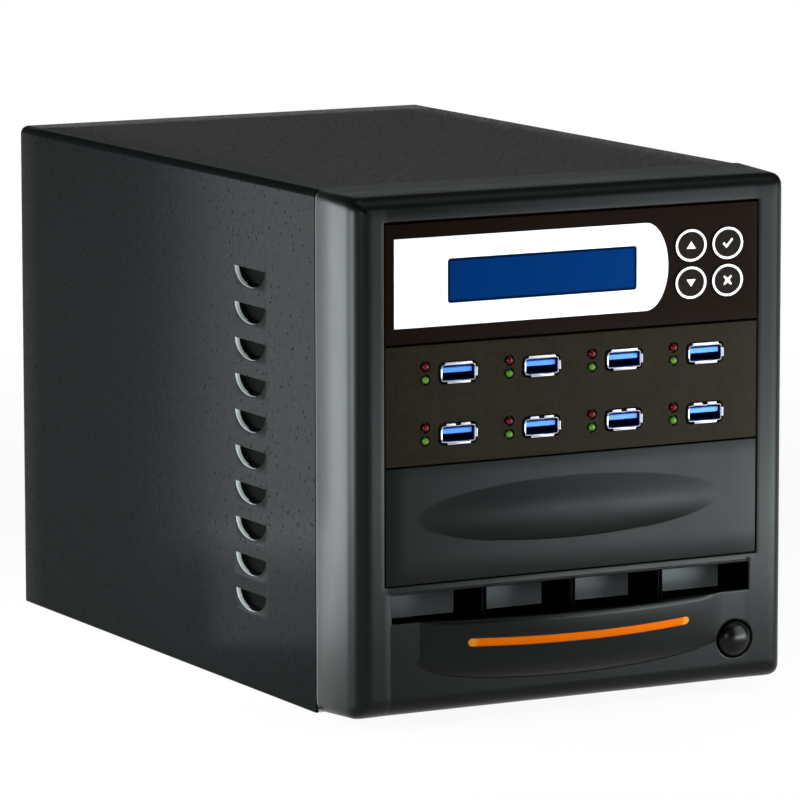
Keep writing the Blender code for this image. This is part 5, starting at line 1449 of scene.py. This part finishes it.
def make_inlet(looks):
    """The inlet's flange with its socket, pins and rocker pocket, and its body behind the panel."""
    low, high = span("mains_inlet")
    x, h = spot_of("mains_inlet")
    half = (high - low) / 2
    edge, flange, soft, lead = 0.8 * MM, 3.0 * MM, 0.3 * MM, 0.7 * MM
    socket = np.array((12.25, 8.45)) * MM
    socket_h = low[2] + 6 * MM + socket[1]
    pocket = np.array((7.3 * MM, ROCKER_SWING + 0.3 * MM))
    wells = ((socket, socket_h, 4 * MM, 17 * MM), (pocket, rocker_height(), 0, 7.2 * MM))
    across = [x + (half[0] - edge) * np.array((-1, 1))]
    up = [(low[2] + edge, high[2] - edge)]
    for size, at, _, _ in wells:
        across.append(x + spread(-size[0] - lead, size[0] + lead, 17))
        up.append(at + spread(-size[1] - lead, size[1] + lead, 13))
    face = Face(across, up)
    face.rear_plane = high[1]
    rounding = [(lead - soft, 0, 0), *((lead - soft + inset, depth, 0) for inset, depth in lip(soft))]
    for size, at, cut, deep in wells:
        block = size + lead
        outline = square((x, at), block, cut)
        face.well(block_at((x, at), block), outline, [*rounding, (lead, deep, 0)], floor=True)

    def body(ring):
        """Behind the flange the outline is drawn in to the body's."""
        if ring[0, 1] <= flange:
            return ring
        slim = ring.copy()
        slim[:, 0] = x + (ring[:, 0] - x) * (1 - 2 * MM / half[0])
        slim[:, 2] = h + (ring[:, 2] - h) * (1 - 2 * MM / half[2])
        return slim

    table = [*lip(edge), (edge, flange), (edge, flange + 0.01 * MM), (edge, high[1] - low[1])]
    face.rim(table, steps=5, shape=body, floor=True)
    wide, tall = 1 * MM, 2 * MM
    for aside, lift in ((-7, -2), (0, 2), (7, -2)):
        pin_x, pin_h = x + aside * MM, socket_h + lift * MM
        start = (pin_x - wide, 6 * MM, pin_h - tall)
        pad(face, start, (pin_x + wide, 17.3 * MM, pin_h + tall), 0.35 * MM, finish=1)
    face.made("inlet_moulding", "case", [looks["housing"], looks["steel"]], ["mains_inlet"], "housing")


def make_rocker(looks):
    """The mains rocker at rest, tilted one way: its face dips along a parabola between its two raised ends."""
    x, _ = spot_of("mains_inlet")
    axis = rocker_height()
    tilt = math.radians(-8)
    cos, sin = math.cos(tilt), math.sin(tilt)
    share = np.linspace(-1, 1, 25)
    face_side = np.stack([(1.6 + 1.9 * share**2) * MM, 8.9 * MM * share], -1)
    back_side = np.array(((3.0, 9.0), (-3.8, 7.05), (-4.0, 6.8), (-4.0, -6.8), (-3.8, -7.05), (3.0, -9.0))) * MM
    outline = np.concatenate([face_side, back_side])
    pivot = span("mains_inlet")[1][1] - 2 * MM
    rings = []
    for side, size in ((-7, 0.97), (-6.7, 1), (6.7, 1), (7, 0.97)):
        out, up = (outline * size).T
        rings.append(np.stack([0 * out + x + side * MM, pivot + out * cos - up * sin, axis + out * sin + up * cos], -1))
    rocker = Shell()
    rocker.tube(rings)
    rocker.made("rocker_cap", "mains_rocker_body", [looks["button"]], ["mains_rocker"], "button")


def make_screws(looks):
    """The four screws through the cover's rear flanges."""
    head, height, shank = 3 * MM, 2 * MM, 1.4 * MM
    for node, spot in spots_of(SCREWS).items():
        low, high = span(node)
        base = high[1] - height
        shell = Shell()
        cross_screw(shell, spot, base, head, height, shank, base - low[1])
        shell.made(node.replace("screw", "cover_screw"), "case", [looks["steel"]], [node], "plated")


# Feet

FEET = ("foot_front_left", "foot_front_right", "foot_rear_left", "foot_rear_right")


def make_feet(looks):
    """Each foot is a rubber button with a rounded tread and a shallow dimple, turned about an upright axis."""
    dimple, dimple_high, tread, soft = 2.6 * MM, 0.5 * MM, 0.7 * MM, 0.3 * MM
    around = circle(40)
    for node in FEET:
        low, high = span(node)
        x, y, _ = middle(node)
        radius = (high[0] - low[0]) / 2
        flat = radius - 0.9 * MM
        profile = [(0, low[2] + dimple_high), (dimple, low[2] + dimple_high), (dimple + 0.5 * MM, low[2])]
        profile += [(flat + out, low[2] + up) for out, up in ((0, 0), *lip(tread))]
        profile = np.array([*profile, (radius, high[2] - soft), (radius - soft, high[2]), (0, high[2])])
        ring_x = x + profile[:, :1] * np.cos(around)
        ring_y = y + profile[:, :1] * np.sin(around)
        height = np.broadcast_to(profile[:, 1:], ring_x.shape)
        shell = Shell()
        shell.grid(np.stack([ring_x, ring_y, height], -1), around=True)
        shell.made(node.replace("foot", "rubber_foot"), "case", [looks["rubber"]], [node], "rubber")


# Finishes on the solids that stay


def dress(nodes, look):
    """Gives CAD nodes that stay a finish in every material slot."""
    for node in nodes:
        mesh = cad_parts[node].data
        mesh.materials.clear()
        mesh.materials.append(look)


# Stage


COOL = (0.91, 1.0, 1.02)
# Each lamp's place, what it faces, its size and its power.
STUDIO_LAMPS = {
    "front_softbox": ((0.29, -0.347, 0.188), (0.14, -0.085, 0.16), (0.3, 0.36), 1.9),
    "low_strip": ((0.225, -0.33, 0.022), (0.1, -0.15, 0.04), (0.25, 0.036), 0.7),
    "side_card": ((-0.33, 0.0925, 0.1), (-0.1, -0.1, 0.1), (0.372, 0.2), 2.0),
    "low_side_card": ((-0.17, 0.0, 0.024), (-0.096, -0.12, 0.04), (0.13, 0.046), 0.05),
    "edge_card": ((-0.45, -0.12, 0.1), (-0.086, -0.14, 0.1), (0.14, 0.2), 2.1),
    "overhead_soft": ((0.3, -0.25, 1.5), (0.05, -0.05, 0.1), (1.0, 1.0), 3.5),
    "back_card": ((0.56, 1.06, 0.52), (0, 0, 0.185), (0.9, 0.16), 0.25),
    "front_fill": ((-0.6, -1.1, 0.3), (0, -0.1, 0.08), (0.3, 0.3), 2.5),
}
# The camera's turn about the upright, its fall and its roll, in degrees.
CAMERA_TURN = (28.017, 8.558, -0.083)


def studio_lamp(name, place, target, size, power):
    """A soft rectangular lamp of a slightly cool white that faces a target."""
    data = bpy.data.lights.new(name, "AREA")
    data.shape = "RECTANGLE"
    data.size, data.size_y = size
    data.energy = power
    data.color = COOL
    thing = bpy.data.objects.new(name, data)
    thing.location = place
    thing.rotation_euler = (Vector(target) - Vector(place)).to_track_quat("-Z", "Y").to_euler()
    thing.visible_camera = False
    bpy.context.scene.collection.objects.link(thing)


def shown_white(recipe):
    """1 where the camera, a mirror or a glass looks, and 0 where light falls."""
    camera, mirror, glass = (
        recipe.node("LightPath", output=f"Is {name} Ray") for name in ("Camera", "Glossy", "Transmission")
    )
    return camera.most(mirror).most(glass)


def make_floor(settings):
    """A wide floor, painted where light falls and nearly white where the camera looks."""
    recipe = Recipe("floor_paint")
    fine = recipe.noise(30 * MM, 3, 0.5)
    tone = recipe.shade(tuple(settings.floor), 0.99 + 0.02 * fine)
    diffuse = recipe.node("BsdfDiffuse", inputs={"Color": tone})
    white = recipe.node("Emission", inputs={"Color": (1, 1, 1), "Strength": 1.0})
    away = (recipe.axis("X") ** 2 + recipe.axis("Y") ** 2) ** 0.5
    share = shown_white(recipe) * (0.93 + 0.07 * away.step(0.35, 0.9))
    mixed = recipe.node("MixShader", inputs={0: share, 1: diffuse, 2: white})
    recipe.node("OutputMaterial", inputs={"Surface": mixed})
    floor = Shell()
    x, y = np.meshgrid(*[np.linspace(-6, 6, 13)] * 2)
    floor.grid(np.stack([x, y, 0 * x], -1))
    mesh = bpy.data.meshes.new("studio_floor")
    mesh.from_pydata(floor.points[0].tolist(), [], floor.faces[0].tolist())
    mesh.materials.append(recipe.block)
    thing = bpy.data.objects.new("studio_floor", mesh)
    bpy.context.scene.collection.objects.link(thing)


def make_sky():
    """The world: white above for a mirror or a glass and all round for the camera, and a faint even light."""
    sky = Recipe("studio", "worlds", "Generated")
    bpy.context.scene.world = sky.block
    above = sky.axis("Z").step(0.0, 0.06)
    seen_by_camera = sky.node("LightPath", output="Is Camera Ray")
    glow = sky.mix(seen_by_camera.most(1 - above), (0.08, 0.08, 0.08), (1, 1, 1))
    lit = sky.node("Background", inputs={"Color": (1, 1, 1), "Strength": 0.15})
    seen = sky.node("Background", inputs={"Color": glow, "Strength": 1.0})
    both = sky.node("MixShader", inputs={0: shown_white(sky), 1: lit, 2: seen})
    sky.node("OutputWorld", inputs={"Surface": both})


def make_camera(settings):
    """The camera from whose place the object is shown."""
    camera = bpy.data.cameras.new("studio_camera")
    camera.lens = settings.lens
    camera.sensor_width = 36
    camera.clip_start, camera.clip_end = 0.05, 50
    viewer = bpy.data.objects.new("studio_camera", camera)
    yaw, pitch, roll = map(math.radians, CAMERA_TURN)
    place = Matrix.Translation((settings.camera_x, settings.camera_y, settings.camera_z))
    level = Matrix.Rotation(-yaw, 4, "Z") @ Matrix.Rotation(math.pi / 2 - pitch, 4, "X")
    viewer.matrix_world = place @ level @ Matrix.Rotation(roll, 4, "Z")
    bpy.context.scene.collection.objects.link(viewer)
    bpy.context.scene.camera = viewer


# Operators


FINISHES = {}


def finishes():
    """Every finish of the object, by what it covers, made once."""
    if not FINISHES:
        chosen = bpy.context.scene.duplicator
        cover, bezel, panels, rear = chosen.cover, chosen.bezel, chosen.panels, chosen.rear
        low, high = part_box("lcd_window")
        plastic, film = tuple(bezel.plastic), tuple(panels.display_plate)
        # Where the bezel's sides get a painted highlight along their back edge.
        rim_highlight = (85.2 * MM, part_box("front_bezel")[1].y - 1.5 * MM)
        FINISHES.update({
            "paint": powder_coat("case_paint", tuple(cover.paint)),
            # The louvres' floors are painted near-black as painted shade, and their rims lighter as a painted
            # highlight.
            "louvre": rubber("louvre_floor_painted_shade", (0.001, 0.001, 0.001), gloss=0.02),
            "louvre_edge": moulded("louvre_rim_painted_highlight", (0.22, 0.23, 0.23)),
            "plastic": moulded("front_plastic", plastic, rim=rim_highlight, gloss=0.12),
            "plastic_flat": moulded("bay_plastic", plastic, roughness=0.28),
            "bar": light_pipe("orange_light_pipe", tuple(bezel.bar), tuple(bezel.bar_tip), bezel.bar_half),
            "button": glossy("button_gloss", tuple(bezel.button), 0.26, 0.15),
            # The recess's back is the front plastic painted grey, standing in for the light that falls on it.
            "recess_back": moulded("recess_back_grey", (0.17, 0.18, 0.185), gloss=0.02),
            # The recess's walls and the fins' sides are painted near-black as shade.
            "recess_dark": moulded("recess_side_painted_shade", (0.0008, 0.0008, 0.0008), roughness=0.8, gloss=0.0),
            "gasket": rubber("bar_gasket_rubber", (0.002, 0.002, 0.002)),
            "display_plate": moulded("display_plate_film", film, 0.5 * MM, 0.004 * MM, 0.3, 0.01),
            "port_plate": woven_panel("port_plate_paint", tuple(panels.port_plate)),
            "label": printed_film("label_film_white", tuple(panels.label)),
            "display": display_glass("display_blue", tuple(panels.display), low, high),
            "key": moulded("key_black", film, 0.5 * MM, 0.004 * MM, 0.35, 0.03),
            "print": printed_film("key_print_white", (0.88, 0.88, 0.88)),
            "plated": metal("port_plating", (0.5, 0.5, 0.58), 0.32),
            "tongue": glossy("tongue_blue", tuple(panels.tongue), 0.35, 0.2),
            # Painted shade for the inside of the port tubes.
            "inside": glossy("port_inside_dark", (0.003, 0.006, 0.04), 0.5, 0.05),
            # Painted shade for the flat collar round each lamp lens.
            "collar": moulded("lamp_collar", (0.002, 0.002, 0.002)),
            # Painted shade for the lamp bores' walls.
            "cut_edge": moulded("plate_cut_edge", (0.006, 0.006, 0.005), gloss=0.1),
            "gold": metal("contact_gold", (0.9, 0.62, 0.25), 0.22),
            "red": lamp_lens("lens_red", tuple(panels.red)),
            "green": lamp_lens("lens_green", tuple(panels.green)),
            "zinc": zinc_sheet("zinc_plate", tuple(rear.zinc)),
            "wire": metal("guard_chrome", (0.62, 0.62, 0.64), 0.2),
            "steel": metal("screw_steel", (0.45, 0.45, 0.47), 0.3),
            "housing": moulded("housing_black", tuple(rear.housing), roughness=0.45),
            "rotor": moulded("rotor_black", tuple(rear.housing), roughness=0.35, gloss=0.4),
            "board": circuit("board_green", tuple(rear.board)),
            "rubber": rubber("foot_rubber", (0.02, 0.02, 0.02)),
        })
    return FINISHES


class DUPLICATOR_OT_cover(Operator):
    """Folded sheet cover with pressed louvres in both sides"""

    bl_idname = "duplicator.cover"
    bl_label = "Cover"

    def execute(self, context):
        make_cover(context.scene.duplicator.cover, finishes())
        return {"FINISHED"}


class DUPLICATOR_OT_bezel(Operator):
    """Moulded front with its chin, recess, light bar and power button"""

    bl_idname = "duplicator.bezel"
    bl_label = "Front moulding"

    def execute(self, context):
        settings = context.scene.duplicator.bezel
        make_bezel(settings, finishes())
        make_light_bar(settings, finishes())
        make_button(finishes())
        return {"FINISHED"}


class DUPLICATOR_OT_display(Operator):
    """Display bay: plate, label, window and keys"""

    bl_idname = "duplicator.display"
    bl_label = "Display bay"

    def execute(self, context):
        settings = context.scene.duplicator.panels
        make_display_plate(settings, finishes())
        make_label(finishes())
        make_window(finishes())
        make_keys(settings, finishes())
        return {"FINISHED"}


class DUPLICATOR_OT_ports(Operator):
    """Port bay: plate, ports and lamps"""

    bl_idname = "duplicator.ports"
    bl_label = "Port bay"

    def execute(self, context):
        settings = context.scene.duplicator.panels
        make_port_plate(settings, finishes())
        make_ports(finishes())
        make_lamps(finishes())
        return {"FINISHED"}


class DUPLICATOR_OT_blank(Operator):
    """Blank bay plate with its long oval swell"""

    bl_idname = "duplicator.blank"
    bl_label = "Blank bay"

    def execute(self, context):
        make_blank_plate(context.scene.duplicator.panels, finishes())
        return {"FINISHED"}


class DUPLICATOR_OT_rear(Operator):
    """Rear panel, fan, guard, inlet, screws and what is inside"""

    bl_idname = "duplicator.rear"
    bl_label = "Rear"

    def execute(self, context):
        looks = finishes()
        makers = (make_rear_panel, make_fan, make_rotor, make_guard, make_inlet, make_rocker, make_screws, make_feet)
        for make in makers:
            make(looks)
        dress(["chassis_base", "bay_rail_left", "bay_rail_right", "power_supply"], looks["zinc"])
        dress(["key_board", "usb_board", "controller_board", "lcd_module"], looks["board"])
        dress(["power_switch_body"], looks["housing"])
        return {"FINISHED"}


class DUPLICATOR_OT_stage(Operator):
    """Floor, lamps, world and camera"""

    bl_idname = "duplicator.stage"
    bl_label = "Stage"

    def execute(self, context):
        settings = context.scene.duplicator.stage
        context.scene.view_settings.view_transform = "Standard"
        make_floor(settings)
        make_sky()
        for name, row in STUDIO_LAMPS.items():
            studio_lamp(name, *row)
        make_camera(settings)
        return {"FINISHED"}


OPERATORS = (
    DUPLICATOR_OT_cover,
    DUPLICATOR_OT_bezel,
    DUPLICATOR_OT_display,
    DUPLICATOR_OT_ports,
    DUPLICATOR_OT_blank,
    DUPLICATOR_OT_rear,
    DUPLICATOR_OT_stage,
)


class DUPLICATOR_PT_panel(Panel):
    """Lists the pieces and their settings"""

    bl_idname = "DUPLICATOR_PT_panel"
    bl_label = "Flash drive duplicator"
    bl_space_type = "VIEW_3D"
    bl_region_type = "UI"
    bl_category = "Duplicator"

    def draw(self, context):
        chosen = context.scene.duplicator
        for group in ("cover", "bezel", "panels", "rear", "stage"):
            box = self.layout.box()
            box.label(text=group.capitalize())
            settings = getattr(chosen, group)
            for key in settings.bl_rna.properties.keys():
                if key not in ("rna_type", "name"):
                    box.prop(settings, key)
        for operator in OPERATORS:
            self.layout.operator(operator.bl_idname)


CLASSES = (
    CoverSettings,
    BezelSettings,
    PanelSettings,
    RearSettings,
    StageSettings,
    DuplicatorSettings,
    *OPERATORS,
    DUPLICATOR_PT_panel,
)


def register():
    for each in CLASSES:
        bpy.utils.register_class(each)
    bpy.types.Scene.duplicator = PointerProperty(type=DuplicatorSettings)


def unregister():
    del bpy.types.Scene.duplicator
    for each in reversed(CLASSES):
        bpy.utils.unregister_class(each)


def main():
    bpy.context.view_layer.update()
    register()
    for operator in OPERATORS:
        group, name = operator.bl_idname.split(".")
        getattr(getattr(bpy.ops, group), name)()


if __name__ == "__main__":
    main()
